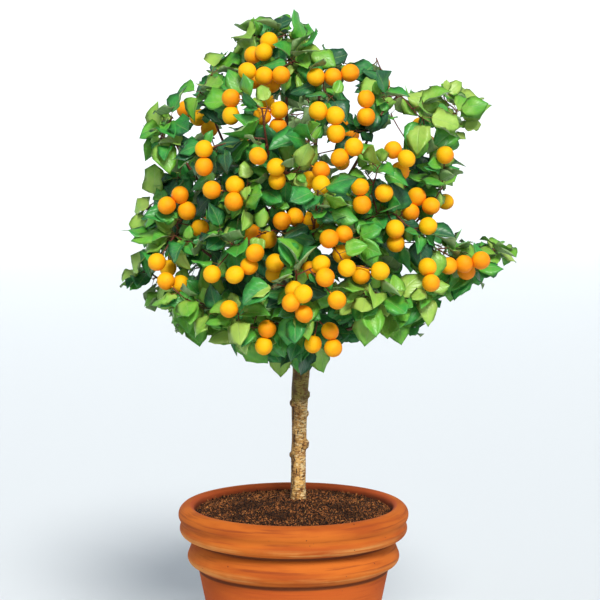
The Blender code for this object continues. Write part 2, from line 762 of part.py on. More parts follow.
def build_node(name, pieces, collection, joints, materials, forms):
    """Joins a node's tubes, leaves or fruits into one body."""
    made = []
    for piece in pieces:
        if piece[0] == "tube":
            made.append((as_mesh(tube(piece[1], piece[2])), Matrix.Identity(4)))
        elif piece[0] == "leaf":
            made.append((forms["leaf"][piece[2]], piece[1]))
        else:
            made.append((forms["fruit"], piece[1]))
    material = materials["apricot"] if name.startswith("apricots") else materials["leaf"]
    for mesh, matrix in made[1:]:
        body = add_object("body", mesh, joints)
        body.matrix_world = matrix
    first = made[0][0].copy()
    first.transform(made[0][1])
    node = add_object(name, first, collection, material)
    bpy.context.view_layer.update()
    if len(made) > 1:
        join_with(node, joints)
    node.data.materials.clear()
    node.data.materials.append(material)
    return node


def main():
    for thing in list(bpy.data.objects):
        bpy.data.objects.remove(thing)
    scene = bpy.context.scene
    tree = bpy.data.collections.new("potted_apricot_tree")
    scene.collection.children.link(tree)
    cutters = bpy.data.collections.new("cutters")
    scene.collection.children.link(cutters)
    joints = bpy.data.collections.new("joints")
    scene.collection.children.link(joints)
    materials = {
        "terracotta": plain_material("terracotta", (0.60, 0.16, 0.05), 0.75),
        "soil": plain_material("potting_soil", (0.045, 0.020, 0.012), 0.95),
        "bark": plain_material("bark", (0.35, 0.22, 0.10), 0.80),
        "leaf": plain_material("leaf", (0.07, 0.22, 0.03), 0.45),
        "apricot": plain_material("apricot", (0.95, 0.42, 0.02), 0.45),
    }
    draw = random.Random(11)
    make_pot(tree, cutters, materials["terracotta"])
    make_soil(tree, cutters, materials["soil"], draw)
    grown = [grow_branch(*branch) for branch in BRANCHES]
    make_stem(tree, joints, materials["bark"], [stub for stub, _ in grown])
    crown = grow_crown([beyond for _, beyond in grown], draw)
    forms = {"leaf": [as_mesh(leaf_form(droop), "leaf") for droop in DROOPS],
             "fruit": as_mesh(ball(FRUIT_SIDES, FRUIT_RINGS, FRUIT_RADIUS), "apricot")}
    for name, pieces in crown.pieces.items():
        build_node(name, pieces, tree, joints, materials, forms)
    leaves = sum(piece[0] == "leaf" for pieces in crown.pieces.values() for piece in pieces)
    fruits = sum(piece[0] == "fruit" for pieces in crown.pieces.values() for piece in pieces)
    print("leaves", leaves, "apricots", fruits, "nodes", len(tree.objects))


main()
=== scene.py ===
# Potted apricot tree: a small standard apricot in fruit, in a terracotta pot filled with soil.
# Metres, +Z up. The photograph looks along +Y, down on the pot at 12 degrees.
import json
import random
from math import atan, atan2, copysign, cos, exp, hypot, pi, radians, sin, sqrt

import bmesh
import bpy
from mathutils import Matrix, Vector, noise
from mathutils.bvhtree import BVHTree

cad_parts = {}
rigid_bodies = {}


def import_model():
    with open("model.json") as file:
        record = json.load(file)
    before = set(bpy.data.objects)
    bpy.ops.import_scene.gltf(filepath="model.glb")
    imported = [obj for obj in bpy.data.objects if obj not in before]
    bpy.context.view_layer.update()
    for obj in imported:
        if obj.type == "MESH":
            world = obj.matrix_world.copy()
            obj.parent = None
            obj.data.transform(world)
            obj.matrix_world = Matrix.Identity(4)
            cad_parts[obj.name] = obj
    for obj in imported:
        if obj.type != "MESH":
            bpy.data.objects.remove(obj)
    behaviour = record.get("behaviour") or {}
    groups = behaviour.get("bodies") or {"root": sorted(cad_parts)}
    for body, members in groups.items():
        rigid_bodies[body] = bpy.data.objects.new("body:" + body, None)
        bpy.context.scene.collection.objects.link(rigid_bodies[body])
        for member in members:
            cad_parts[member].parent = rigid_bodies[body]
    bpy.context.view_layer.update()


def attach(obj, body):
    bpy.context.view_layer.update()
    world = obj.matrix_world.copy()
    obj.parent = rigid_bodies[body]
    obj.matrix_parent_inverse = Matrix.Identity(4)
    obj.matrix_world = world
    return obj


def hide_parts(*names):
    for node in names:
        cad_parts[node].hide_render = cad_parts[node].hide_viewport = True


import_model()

# The view, the floor and the light.
# A long lens 4.5 m away and 1.34 m up, so that the rim is seen 12 degrees from above; the frame
# cuts the pot off below its band, as the photograph does. A pale sheet sweeps up behind the tree.
UP = Vector((0.0, 0.0, 1.0))
EYE = Vector((0.013, -4.5, 1.34))
LOOK_AT = Vector((0.013, 0.0, 0.79))
PIXELS = 600
PIXELS_PER_SLOPE = 2291.7
FORWARD = (LOOK_AT - EYE).normalized()
RIGHT = FORWARD.cross(UP).normalized()
ABOVE = RIGHT.cross(FORWARD)
KEY_LIGHT = Vector((0.18, -0.92, 0.84)).normalized()
FILL_LIGHT = Vector((0.80, -0.60, 0.45))
SKY = (0.88, 0.94, 1.0, 1.0)
SKY_STRENGTH = 0.42
PAPER = (0.72, 0.76, 0.80, 1.0)
FLOOR_RADIUS = 11.0
FLOOR_BEND = 3.0
FLOOR_WALL = 4.5
FLOOR_SPOKES = 96
BEND_STEPS = 16


def seen_at(pixel, depth):
    """The point at this depth (Y) that the photograph shows at this pixel."""
    ray = (FORWARD * PIXELS_PER_SLOPE + RIGHT * (pixel[0] - PIXELS / 2)
           + ABOVE * (PIXELS / 2 - pixel[1]))
    return EYE + ray * ((depth - EYE.y) / ray.y)


def shown_at(point):
    """The pixel at which the photograph shows a point."""
    away = point - EYE
    scale = PIXELS_PER_SLOPE / away.dot(FORWARD)
    return PIXELS / 2 + away.dot(RIGHT) * scale, PIXELS / 2 - away.dot(ABOVE) * scale


def add_object(name, data):
    thing = bpy.data.objects.new(name, data)
    bpy.context.scene.collection.objects.link(thing)
    return thing


def aim(thing, place, way):
    """Puts a camera or a lamp at a place, facing a way."""
    thing.location = place
    thing.rotation_euler = way.to_track_quat("-Z", "Y").to_euler()


def add_sun(name, source, strength, softness, colour):
    """A wide soft light that shines from a direction."""
    lamp = bpy.data.lights.new(name, "SUN")
    lamp.energy = strength
    lamp.angle = radians(softness)
    lamp.color = colour
    aim(add_object(name, lamp), source * 3, -source)


def as_mesh(bm, smooth=False):
    mesh = bpy.data.meshes.new("body")
    for face in bm.faces:
        face.smooth = smooth
    bm.to_mesh(mesh)
    bm.free()
    return mesh


def ring_of(bm, count, radius, height):
    """A ring of corners about the Z axis, at the heights that height(angle) gives."""
    return [bm.verts.new((radius * cos(a), radius * sin(a), height(a)))
            for a in (2 * pi * step / count for step in range(count))]


def stitch(bm, rings):
    """Faces between each ring of corners and the next one, which lies above it or inside it."""
    for low, high in zip(rings, rings[1:]):
        for index in range(len(low)):
            after = (index + 1) % len(low)
            bm.faces.new((low[index], low[after], high[after], high[index]))


camera = add_object("camera", bpy.data.cameras.new("camera"))
aim(camera, EYE, LOOK_AT - EYE)
camera.data.angle = 2 * atan(PIXELS / 2 / PIXELS_PER_SLOPE)
camera.data.clip_end = 60
bpy.context.scene.camera = camera

add_sun("key", KEY_LIGHT, 3.3, 18, (1.0, 0.97, 0.91))
add_sun("fill", FILL_LIGHT, 0.50, 60, (0.93, 0.97, 1.0))
world = bpy.data.worlds.new("studio")
world.use_nodes = True
world.node_tree.nodes["Background"].inputs["Color"].default_value = SKY
world.node_tree.nodes["Background"].inputs["Strength"].default_value = SKY_STRENGTH
bpy.context.scene.world = world
bpy.context.scene.view_settings.view_transform = "Standard"
bpy.context.scene.view_settings.look = "None"

turns = [pi / 2 * step / BEND_STEPS for step in range(BEND_STEPS + 1)]
bend = [(FLOOR_RADIUS - FLOOR_BEND * (1 - sin(a)), FLOOR_BEND * (1 - cos(a)))
        for a in turns]
bm = bmesh.new()
middle = bm.verts.new((0.0, 0.0, 0.0))
rings = [ring_of(bm, FLOOR_SPOKES, radius, lambda angle: height)
         for radius, height in [(FLOOR_RADIUS, FLOOR_WALL)] + bend[::-1]]
stitch(bm, rings)
for index in range(FLOOR_SPOKES):
    bm.faces.new((middle, rings[-1][index - 1], rings[-1][index]))
sheet = add_object("floor_sheet", as_mesh(bm, smooth=True))
paper = bpy.data.materials.new("pale_sheet")
paper.use_nodes = True
paper.node_tree.nodes["Principled BSDF"].inputs["Base Color"].default_value = PAPER
paper.node_tree.nodes["Principled BSDF"].inputs["Roughness"].default_value = 0.9
sheet.data.materials.append(paper)


# The pot: hand-turned terracotta, unglazed, with a fat double-rolled lip and a rolled band below
# it. Turned on a wheel, so its marks run round it; salts have bloomed pale on the lower edges, and
# the grooves under the roll and the band are painted dark as shade.
POT_HEIGHT = 0.380
LIP_RADIUS = 0.230
LIP_ROLL = 0.019
LOWER_ROLL = 0.0155
LOWER_ROLL_INSET = 0.018
LOWER_ROLL_DROP = 0.0465
MOUTH_RADIUS = 0.199
MOUTH_ROUND = 0.009
NECK_RADIUS = 0.200
NECK_HEIGHT = 0.3110
BAND_RADIUS = 0.212
BAND_ROLL = 0.016
BAND_HEIGHT = 0.277
WALL_TOP_RADIUS = 0.190
WALL_TOP_HEIGHT = 0.2535
HOLLOW_ROUND = 0.0035
FOOT_RADIUS = 0.140
FOOT_ROUND = 0.004
FLOOR_THICKNESS = 0.018
INNER_FLOOR_RADIUS = 0.123
INNER_ROUND = 0.008
POT_TURNS = 160
DRAIN_RADIUS = 0.011
DRAIN_CIRCLE = 0.070
DRAIN_COUNT = 3


def arc(across, up, radius, start, end, steps=12):
    """Points on an arc about (across, up), from one angle to another."""
    angles = [radians(start + (end - start) * step / steps) for step in range(steps + 1)]
    return [(across + radius * cos(a), up + radius * sin(a)) for a in angles]


def add_modifier(thing, kind, **settings):
    made = thing.modifiers.new(kind, kind)
    for name, value in settings.items():
        setattr(made, name, value)
    return made


def settle(thing):
    """Turns an object's modifiers into a plain mesh, and removes them."""
    bpy.context.view_layer.update()
    evaluated = thing.evaluated_get(bpy.context.evaluated_depsgraph_get())
    made = bpy.data.meshes.new_from_object(evaluated)
    thing.modifiers.clear()
    thing.data = made
    return thing


def forms_of(title, meshes):
    """A collection with an object for each mesh."""
    forms = bpy.data.collections.new(title)
    for index, mesh in enumerate(meshes):
        forms.objects.link(bpy.data.objects.new(f"{title}_{index:02d}", mesh))
    return forms


def drain_hole(index):
    bm = bmesh.new()
    bmesh.ops.create_cone(bm, cap_ends=True, segments=24, radius1=DRAIN_RADIUS,
                          radius2=DRAIN_RADIUS, depth=3 * FLOOR_THICKNESS)
    angle = 2 * pi * (index + 0.25) / DRAIN_COUNT
    spot = Vector((DRAIN_CIRCLE * cos(angle), DRAIN_CIRCLE * sin(angle), 0.0))
    bmesh.ops.translate(bm, verts=bm.verts, vec=spot)
    return as_mesh(bm)


profile = [(0.0, FLOOR_THICKNESS), (INNER_FLOOR_RADIUS - 0.01, FLOOR_THICKNESS)]
profile += arc(INNER_FLOOR_RADIUS - 0.006, FLOOR_THICKNESS + INNER_ROUND, INNER_ROUND, -90, -12, 6)
profile += arc(MOUTH_RADIUS + MOUTH_ROUND, POT_HEIGHT - MOUTH_ROUND, MOUTH_ROUND, 178, 90, 8)
profile += arc(LIP_RADIUS - LIP_ROLL, POT_HEIGHT - LIP_ROLL, LIP_ROLL, 90, -38)[1:]
profile += arc(LIP_RADIUS - LOWER_ROLL_INSET, POT_HEIGHT - LOWER_ROLL_DROP, LOWER_ROLL, 34, -64)
profile += arc(NECK_RADIUS + HOLLOW_ROUND, NECK_HEIGHT, HOLLOW_ROUND, 125, 215, 6)
profile += arc(BAND_RADIUS - BAND_ROLL, BAND_HEIGHT, BAND_ROLL, 30, -52)
profile += arc(WALL_TOP_RADIUS + 0.004, WALL_TOP_HEIGHT, HOLLOW_ROUND, 120, 200, 6)
profile += arc(FOOT_RADIUS - FOOT_ROUND, FOOT_ROUND, FOOT_ROUND, -10, -90, 5) + [(0.0, 0.0)]
mesh = bpy.data.meshes.new("pot")
mesh.from_pydata([(radius, 0.0, z) for radius, z in profile],
                 [(i, i + 1) for i in range(len(profile) - 1)], [])
pot = add_object("turned_pot", mesh)
add_modifier(pot, "SCREW", steps=POT_TURNS, render_steps=POT_TURNS, use_merge_vertices=True,
             merge_threshold=0.00001, use_smooth_shade=True)
holes = forms_of("drain_holes", [drain_hole(index) for index in range(DRAIN_COUNT)])
bpy.context.scene.collection.children.link(holes)
add_modifier(pot, "BOOLEAN", operand_type="COLLECTION", collection=holes)
settle(pot)
for hole in list(holes.objects):
    bpy.data.objects.remove(hole)
pot.data.set_sharp_from_angle(angle=radians(50))


def operator(operation, turned=False):
    """What a sign beside a number in a node tree adds: a Math node."""
    return lambda one, other: one.nodes.math(operation, *(other, one) if turned else (one, other))


class Number:
    """A number in a node tree: sums on it add Math nodes."""

    __add__ = __radd__ = operator("ADD")
    __sub__ = operator("SUBTRACT")
    __rsub__ = operator("SUBTRACT", turned=True)
    __mul__ = __rmul__ = operator("MULTIPLY")
    __pow__ = operator("POWER")
    __rpow__ = operator("POWER", turned=True)

    def __init__(self, nodes, socket):
        self.nodes = nodes
        self.socket = socket

    def __abs__(self):
        return self.nodes.math("ABSOLUTE", self)


class Nodes:
    """A node tree being written."""

    def __init__(self, tree):
        self.tree = tree

    def node(self, kind, settings=None, inputs=None):
        """A node with its settings made first, then its sockets fed with values or links."""
        made = self.tree.nodes.new(kind)
        for name, value in (settings or {}).items():
            if name == "stops":
                while len(made.color_ramp.elements) < len(value):
                    made.color_ramp.elements.new(0.5)
                for stop, (position, colour) in zip(made.color_ramp.elements, value):
                    stop.position = position
                    stop.color = (*colour, 1.0)
            else:
                setattr(made, name, value)
        for name, value in (inputs or {}).items():
            self.feed(made.inputs[name], value)
        return made

    def number(self, kind, settings, inputs, output=0):
        return Number(self, self.node(kind, settings, inputs).outputs[output])

    def feed(self, socket, value):
        if isinstance(value, Number):
            value = value.socket
        if isinstance(value, bpy.types.NodeSocket):
            self.tree.links.new(value, socket)
        else:
            socket.default_value = value

    def math(self, operation, *values):
        return self.number("ShaderNodeMath", {"operation": operation}, dict(enumerate(values)))


class Finish(Nodes):
    """A material being written: a Principled shader and the patterns that feed it."""

    def __init__(self, name, **constants):
        self.material = bpy.data.materials.new(name)
        self.material.use_nodes = True
        super().__init__(self.material.node_tree)
        self.shader = self.tree.nodes["Principled BSDF"]
        for socket, value in constants.items():
            self.shader.inputs[socket.replace("_", " ")].default_value = value
        self.place = self.node("ShaderNodeTexCoord").outputs["Object"]

    def stretch(self, x, y, z):
        """Coordinates multiplied, so that a pattern runs finer or coarser each way."""
        return self.node("ShaderNodeVectorMath", {"operation": "MULTIPLY"},
                         {0: self.place, 1: (x, y, z)}).outputs[0]

    def noise(self, scale, detail=3.0, source=None, roughness=0.55):
        return self.number("ShaderNodeTexNoise", {"noise_dimensions": "3D"},
                           {"Vector": source or self.place, "Scale": scale, "Detail": detail,
                            "Roughness": roughness})

    def band(self, value, low, high):
        """0 below low, 1 above high, smooth between; falling where low is above high."""
        return self.number("ShaderNodeMapRange", {"interpolation_type": "SMOOTHSTEP"},
                           {"Value": value, "From Min": low, "From Max": high})

    def blend(self, share, first, second):
        """A colour between two, by a share."""
        made = self.node("ShaderNodeMix", {"data_type": "RGBA"}, {0: share})
        for index, colour in ((6, first), (7, second)):
            self.feed(made.inputs[index], (*colour, 1.0) if isinstance(colour, tuple) else colour)
        return made.outputs[2]

    def cover(self, colour, *coats):
        """A colour under coats of (share, colour)."""
        for share, coat in coats:
            colour = self.blend(share, colour, coat)
        return colour

    def colours(self, colour, *coats):
        self.feed(self.shader.inputs["Base Color"], self.cover(colour, *coats))

    def axes(self, source=None):
        split = self.node("ShaderNodeSeparateXYZ", None, {0: source or self.place})
        return [Number(self, output) for output in split.outputs]

    def facing(self):
        """Which way the surface faces, as three numbers."""
        return self.axes(self.node("ShaderNodeNewGeometry").outputs["Normal"])

    def attribute(self, name):
        return self.number("ShaderNodeAttribute", {"attribute_name": name}, None, "Fac")

    def bump(self, height, depth, strength=1.0):
        made = self.node("ShaderNodeBump", None,
                         {"Height": height, "Distance": depth, "Strength": strength})
        self.feed(self.shader.inputs["Normal"], made.outputs[0])


clay = Finish("terracotta", Roughness=0.85, Specular_IOR_Level=0.15)
x, y, z = clay.axes()
around = clay.noise(1.0, 5.0, clay.stretch(7, 7, 170))
broad = clay.noise(1.0, 3.0, clay.stretch(5, 5, 38))
cloud = clay.noise(9.0, 4.0)
grain = clay.noise(900.0, 2.0)
salted = clay.band(abs(z - 0.325), 0.014, 0.002) + clay.band(abs(z - 0.269), 0.012, 0.002)
bloom = salted * clay.band(around * 0.6 + cloud * 0.4, 0.40, 0.62)
reach = (x * x + y * y) ** 0.5
# Painted shade: the grooves under the lip's roll and under the band are darkened as shadow lines.
groove_shade = (clay.band(abs(z - 0.3135), 0.0060, 0.0020) * clay.band(reach, 0.218, 0.206)
          + clay.band(abs(z - 0.2520), 0.0055, 0.0015) * clay.band(reach, 0.204, 0.193))
within = clay.band(reach - z * 0.215, 0.1272, 0.1232) * clay.band(z, 0.02, 0.05)
# The inner wall turns darker in patches towards the soil line.
darker_near_soil = clay.band(z + cloud * 0.022, 0.388, 0.374)
pit = clay.band(clay.noise(150.0, 1.0), 0.755, 0.79)
clay.colours(
    clay.blend(clay.band(broad, 0.35, 0.68), (0.57, 0.140, 0.017), (0.40, 0.078, 0.012)),
    (clay.band(around, 0.50, 0.70) * 0.7, (0.25, 0.048, 0.012)),
    (clay.band(cloud, 0.55, 0.75) * 0.35, (0.66, 0.20, 0.030)),
    (clay.band(z, 0.258, 0.240) * 0.7, (0.46, 0.082, 0.015)),
    (bloom * 0.6, (0.86, 0.40, 0.11)),
    (groove_shade * 0.8, (0.085, 0.028, 0.014)),
    (within * 0.80, (0.44, 0.075, 0.022)),
    (within * darker_near_soil * 0.75, (0.060, 0.018, 0.010)),
    (pit * 0.8, (0.12, 0.035, 0.015)))
clay.bump(around * 0.35 + broad * 0.4 + grain * 0.12 - pit * 0.7, 0.0016, 0.7)
pot.data.materials.clear()
pot.data.materials.append(clay.material)
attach(pot, "root")
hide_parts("pot")

# The soil: dark peaty potting soil, heaped a little to the stem and slumped to the pot's wall,
# with loose crumbs, flecks of bark and a few pale grains on top. It fills the pot to its floor.
SOIL_EDGE_HEIGHT = 0.366
SOIL_TOP_HEIGHT = 0.391
SOIL_LUMP = 0.004
SOIL_SPOKES = 32
SOIL_CLEARANCE = 0.0003
SOIL_CRUMBLE = 0.0014
SOIL_RINGS = (1.0, 0.66, 0.28)
FINE_SPOKES = 128
FINE_RINGS = 40
CRUMB_DENSITY = 74000
CRUMB_SIZES = (0.0012, 0.0036)
CRUMB_SHAPES = ((1.0, 1.0), (1.3, 0.8), (0.9, 1.2), (3.6, 0.55))
draw = random.Random(11)
soil_lumps = [[draw.uniform(-1.0, 1.0) for _ in range(SOIL_SPOKES)] for _ in SOIL_RINGS]


def inner_radius(height):
    """The pot's inner wall at a height."""
    slope = (MOUTH_RADIUS - INNER_FLOOR_RADIUS) / (POT_HEIGHT - 0.008 - FLOOR_THICKNESS)
    return INNER_FLOOR_RADIUS + slope * (height - FLOOR_THICKNESS)


def soil_height(share, angle):
    """The heap's height at a share of its radius: its dome, its lumps and its crumble."""
    turn = angle / (2 * pi) * SOIL_SPOKES
    low, part = int(turn // 1), turn % 1
    lumps = [ring[low % SOIL_SPOKES] * (1 - part) + ring[(low + 1) % SOIL_SPOKES] * part
             for ring in soil_lumps]
    if share > SOIL_RINGS[1]:
        between = (1.0 - share) / (1.0 - SOIL_RINGS[1])
        lump = lumps[1] * SOIL_RINGS[1] * between
    else:
        between = max(0.0, min(1.0, (SOIL_RINGS[1] - share) / (SOIL_RINGS[1] - SOIL_RINGS[2])))
        lump = lumps[1] * SOIL_RINGS[1] * (1 - between) + lumps[2] * SOIL_RINGS[2] * between
    spot = Vector((share * cos(angle), share * sin(angle), 0.3))
    crumble = noise.fractal(spot * 26, 0.8, 2.0, 4) * SOIL_CRUMBLE
    dome = SOIL_TOP_HEIGHT - (SOIL_TOP_HEIGHT - SOIL_EDGE_HEIGHT) * share ** 1.6
    return dome + SOIL_LUMP * lump * 0.8 + crumble


def close(bm, rings):
    """A closed body: its wall between the rings, its underside and its top."""
    stitch(bm, rings)
    bm.faces.new(rings[0][::-1])
    bm.faces.new(rings[-1])


def crumb_form(seed, long, wide):
    """A rough lump of 20 faces."""
    bm = bmesh.new()
    bmesh.ops.create_icosphere(bm, subdivisions=1, radius=0.5)
    for vert in bm.verts:
        vert.co *= 1.0 + 0.35 * noise.noise(vert.co * 3 + Vector((seed, 0, 0)))
        vert.co.x *= long
        vert.co.y *= wide
    return as_mesh(bm)


class Recipe(Nodes):
    """A Geometry Nodes tree with named inputs, put on an object as a modifier."""

    def __init__(self, name):
        super().__init__(bpy.data.node_groups.new(name, "GeometryNodeTree"))
        for way in ("INPUT", "OUTPUT"):
            self.tree.interface.new_socket("Geometry", in_out=way, socket_type="NodeSocketGeometry")
        self.identifiers = {}
        self.start = self.tree.nodes.new("NodeGroupInput")
        self.end = self.tree.nodes.new("NodeGroupOutput")

    def inputs(self, **kinds):
        """New inputs of the tree, each with its kind of socket."""
        for name, kind in kinds.items():
            socket = self.tree.interface.new_socket(name, in_out="INPUT",
                                                    socket_type="NodeSocket" + kind)
            self.identifiers[name] = socket.identifier
        return [self.start.outputs[name] for name in kinds]

    def named(self, name, kind="FLOAT"):
        made = self.node("GeometryNodeInputNamedAttribute", {"data_type": kind}, {"Name": name})
        return made.outputs["Attribute"]

    def random(self, kind, seed, low, high):
        made = self.node("FunctionNodeRandomValue", {"data_type": kind},
                         {"Min": low, "Max": high, "Seed": seed})
        return next(output for output in made.outputs if output.enabled)

    def set_on(self, points, forms, which, turn, size, material):
        """Ends the tree with forms of a collection set on points."""
        shapes = self.node("GeometryNodeCollectionInfo", None, {
            "Collection": forms, "Separate Children": True, "Reset Children": True})
        stood = self.node("GeometryNodeInstanceOnPoints", None, {
            "Points": points, "Instance": shapes.outputs[0], "Pick Instance": True,
            "Instance Index": which, "Rotation": turn, "Scale": size})
        self.finish_with(stood.outputs[0], material)

    def finish_with(self, geometry, material):
        realized = self.node("GeometryNodeRealizeInstances", None, {"Geometry": geometry})
        painted = self.node("GeometryNodeSetMaterial", None,
                            {"Geometry": realized.outputs[0], "Material": material})
        self.feed(self.end.inputs[0], painted.outputs[0])

    def make(self, thing, **values):
        """Runs the tree on an object, whose mesh becomes the result."""
        modifier = add_modifier(thing, "NODES", node_group=self.tree)
        for name, value in values.items():
            modifier[self.identifiers[name]] = value
        return settle(thing)


top_radius = inner_radius(SOIL_EDGE_HEIGHT) - SOIL_CLEARANCE
bm = bmesh.new()
rings = [
    ring_of(bm, FINE_SPOKES, inner_radius(FLOOR_THICKNESS) - SOIL_CLEARANCE,
            lambda angle: FLOOR_THICKNESS + SOIL_CLEARANCE),
    ring_of(bm, FINE_SPOKES, top_radius, lambda angle: SOIL_EDGE_HEIGHT - 0.004)]
for step in range(1, FINE_RINGS + 1):
    share = 1.0 - 0.9 * (step / FINE_RINGS)
    rings.append(ring_of(bm, FINE_SPOKES, top_radius * share,
                         lambda angle: soil_height(share, angle)))
close(bm, rings)
soil = add_object("potting_soil", as_mesh(bm, smooth=True))

bm = bmesh.new()
bm.from_mesh(soil.data)
edge_faces = [face for face in bm.faces
              if face.normal.z < 0.3 or face.calc_center_median().xy.length > top_radius - 0.003]
bmesh.ops.delete(bm, geom=edge_faces, context="FACES")
crumbs = add_object("soil_crumbs", as_mesh(bm))

peat = Finish("potting_soil", Roughness=0.95, Specular_IOR_Level=0.2)
clump = peat.noise(120.0, 4.0)
fleck = peat.noise(600.0, 2.0)
peat.colours(
    peat.blend(peat.band(clump, 0.38, 0.62), (0.006, 0.003, 0.002), (0.030, 0.012, 0.006)),
    (peat.band(fleck, 0.56, 0.66), (0.14, 0.055, 0.020)))
peat.bump(clump + fleck * 0.5, 0.002)
soil.data.materials.append(peat.material)

loose = Finish("soil_crumbs", Roughness=0.95, Specular_IOR_Level=0.2)
tone = loose.attribute("tint")
loose.colours(
    loose.blend(loose.band(tone, 0.40, 0.86), (0.004, 0.0018, 0.0012), (0.310, 0.104, 0.032)),
    (loose.band(loose.noise(500.0, 2.0), 0.53, 0.62) * 0.55, (0.44, 0.155, 0.046)),
    (loose.band(tone, 0.925, 0.935), (0.42, 0.160, 0.045)),
    (loose.band(tone, 0.990, 0.994), (0.46, 0.22, 0.070)),
    (loose.band(loose.noise(16.0, 2.0), 0.50, 0.62) * 0.72, (0.010, 0.004, 0.0025)))

scatter = Recipe("crumbs_on_soil")
forms, density, smallest, largest, material = scatter.inputs(
    Forms="Collection", Density="Float", Smallest="Float", Largest="Float", Material="Material")
spread = scatter.node("GeometryNodeDistributePointsOnFaces", None,
                      {"Mesh": scatter.start.outputs[0], "Density": density, "Seed": 4})
tinted = scatter.node("GeometryNodeStoreNamedAttribute", {"data_type": "FLOAT", "domain": "POINT"},
                      {"Geometry": spread.outputs["Points"], "Name": "tint",
                       "Value": scatter.random("FLOAT", 5, 0.0, 1.0)})
scatter.set_on(tinted.outputs[0], forms, scatter.random("INT", 3, 0, len(CRUMB_SHAPES) - 1),
               scatter.random("FLOAT_VECTOR", 2, (0.0, 0.0, 0.0), (6.3, 6.3, 6.3)),
               scatter.random("FLOAT", 9, smallest, largest), material)
crumb_forms = forms_of("crumb", [crumb_form(index * 7.3, long, wide)
                                 for index, (long, wide) in enumerate(CRUMB_SHAPES)])
scatter.make(crumbs, Forms=crumb_forms, Density=CRUMB_DENSITY, Smallest=CRUMB_SIZES[0],
             Largest=CRUMB_SIZES[1], Material=loose.material)
for piece in (soil, crumbs):
    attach(piece, "root")
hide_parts("soil")

# The stem: one upright stem of a grafted standard, planted in the soil, with the leader above the
# crotch. Its bark is tan and wrinkled low down and olive above, and rounded knots stand on it
# where side shoots were pruned away.
STEM_X = 0.0095
STEM_RADIUS = 0.0152
STEM_FOOT_HEIGHT = 0.200
CROTCH_HEIGHT = 0.700
FORK = Vector((0.009, 0.0, 0.930))
STEM_AROUND = 44
STEM_RING_SPACING = 0.0022
FLARE = 0.0008
LEANING = 0.0011
RIDGING = 0.0006
WRINKLING = 0.00035
KNOT_RISE = 0.78
KNOT_DIMPLE = 0.40
# Pruning knots: the pixel where each is seen, and its size
KNOTS = [(309, 444, 0.0085), (289, 455, 0.0050), (307, 414, 0.0050), (290, 403, 0.0065),
         (308, 395, 0.0060)]


def stem_stations():
    """The stem from its buried foot through the crotch to the leader's fork."""
    outline = [
        (STEM_X, STEM_FOOT_HEIGHT, STEM_RADIUS), (STEM_X, 0.405, STEM_RADIUS),
        (0.0100, 0.455, 0.0148), (0.0112, 0.530, 0.0144), (0.0125, 0.600, 0.0168),
        (0.0155, 0.655, 0.0172), (0.0180, CROTCH_HEIGHT, 0.0172), (0.0165, 0.745, 0.0145),
        (0.0130, 0.800, 0.0122), (0.0100, 0.865, 0.0108), (FORK.x, FORK.z, 0.0090),
    ]
    points = [Vector((x, 0.0, z)) for x, z, _ in outline]
    stations = []
    for index, point in enumerate(points):
        before = points[max(index - 1, 0)]
        after = points[min(index + 1, len(points) - 1)]
        way = UP if index < 2 else (after - before).normalized()
        stations.append((point, way, outline[index][2]))
    return stations


def stem_at(height):
    """The stem's centre and radius at a height, smooth between the stations."""
    stations = stem_stations()
    for (low, _, wide), (high, _, narrow) in zip(stations, stations[1:]):
        if height <= high.z:
            share = (height - low.z) / (high.z - low.z)
            share = share * share * (3 - 2 * share)
            return low.lerp(Vector((high.x, 0.0, low.z)), share).x, wide + (narrow - wide) * share
    return stations[-1][0].x, stations[-1][2]


knot_spots = []
for across, down, size in KNOTS:
    spot = seen_at((across, down), -0.004)
    centre, radius = stem_at(spot.z)
    side = copysign(1.0, spot.x - centre)
    turn = -0.45 if size > 0.006 else 0.15
    knot = Vector((centre + side * radius * cos(turn), radius * sin(turn), spot.z))
    knot_spots.append((knot, size))

bm = bmesh.new()
scar = bm.verts.layers.float.new("scar")
rings = []
ring_count = int((FORK.z - STEM_FOOT_HEIGHT) / STEM_RING_SPACING)
for step in range(ring_count + 1):
    height = STEM_FOOT_HEIGHT + (FORK.z - STEM_FOOT_HEIGHT) * step / ring_count
    centre, radius = stem_at(height)
    flare = FLARE * exp(-max(height - 0.390, 0.0) / 0.012)
    ring = []
    for index in range(STEM_AROUND):
        angle = 2 * pi * index / STEM_AROUND
        out = Vector((cos(angle), sin(angle), 0.0))
        spot = Vector((centre, 0.0, height)) + out * radius
        lean = noise.noise(Vector((spot.x * 30, spot.y * 30, height * 9))) * LEANING
        ridge = noise.noise(Vector((spot.x * 160, spot.y * 160, height * 26))) * RIDGING
        fine = Vector((spot.x * 110, spot.y * 110, height * 330))
        wrinkle = noise.fractal(fine, 0.9, 2.1, 3) * WRINKLING
        reach = radius + flare + lean + ridge + wrinkle
        scarred = 0.0
        for knot, size in knot_spots:
            away = (spot - knot).length / size
            reach += (size * KNOT_RISE * exp(-away ** 4 * 0.7)
                      - size * KNOT_DIMPLE * exp(-(away * 2.4) ** 2))
            scarred = max(scarred, exp(-(away * 1.25) ** 2))
        vert = bm.verts.new(Vector((centre, 0.0, height)) + out * reach)
        vert[scar] = scarred
        ring.append(vert)
    rings.append(ring)
close(bm, rings)
stem = add_object("stem", as_mesh(bm, smooth=True))

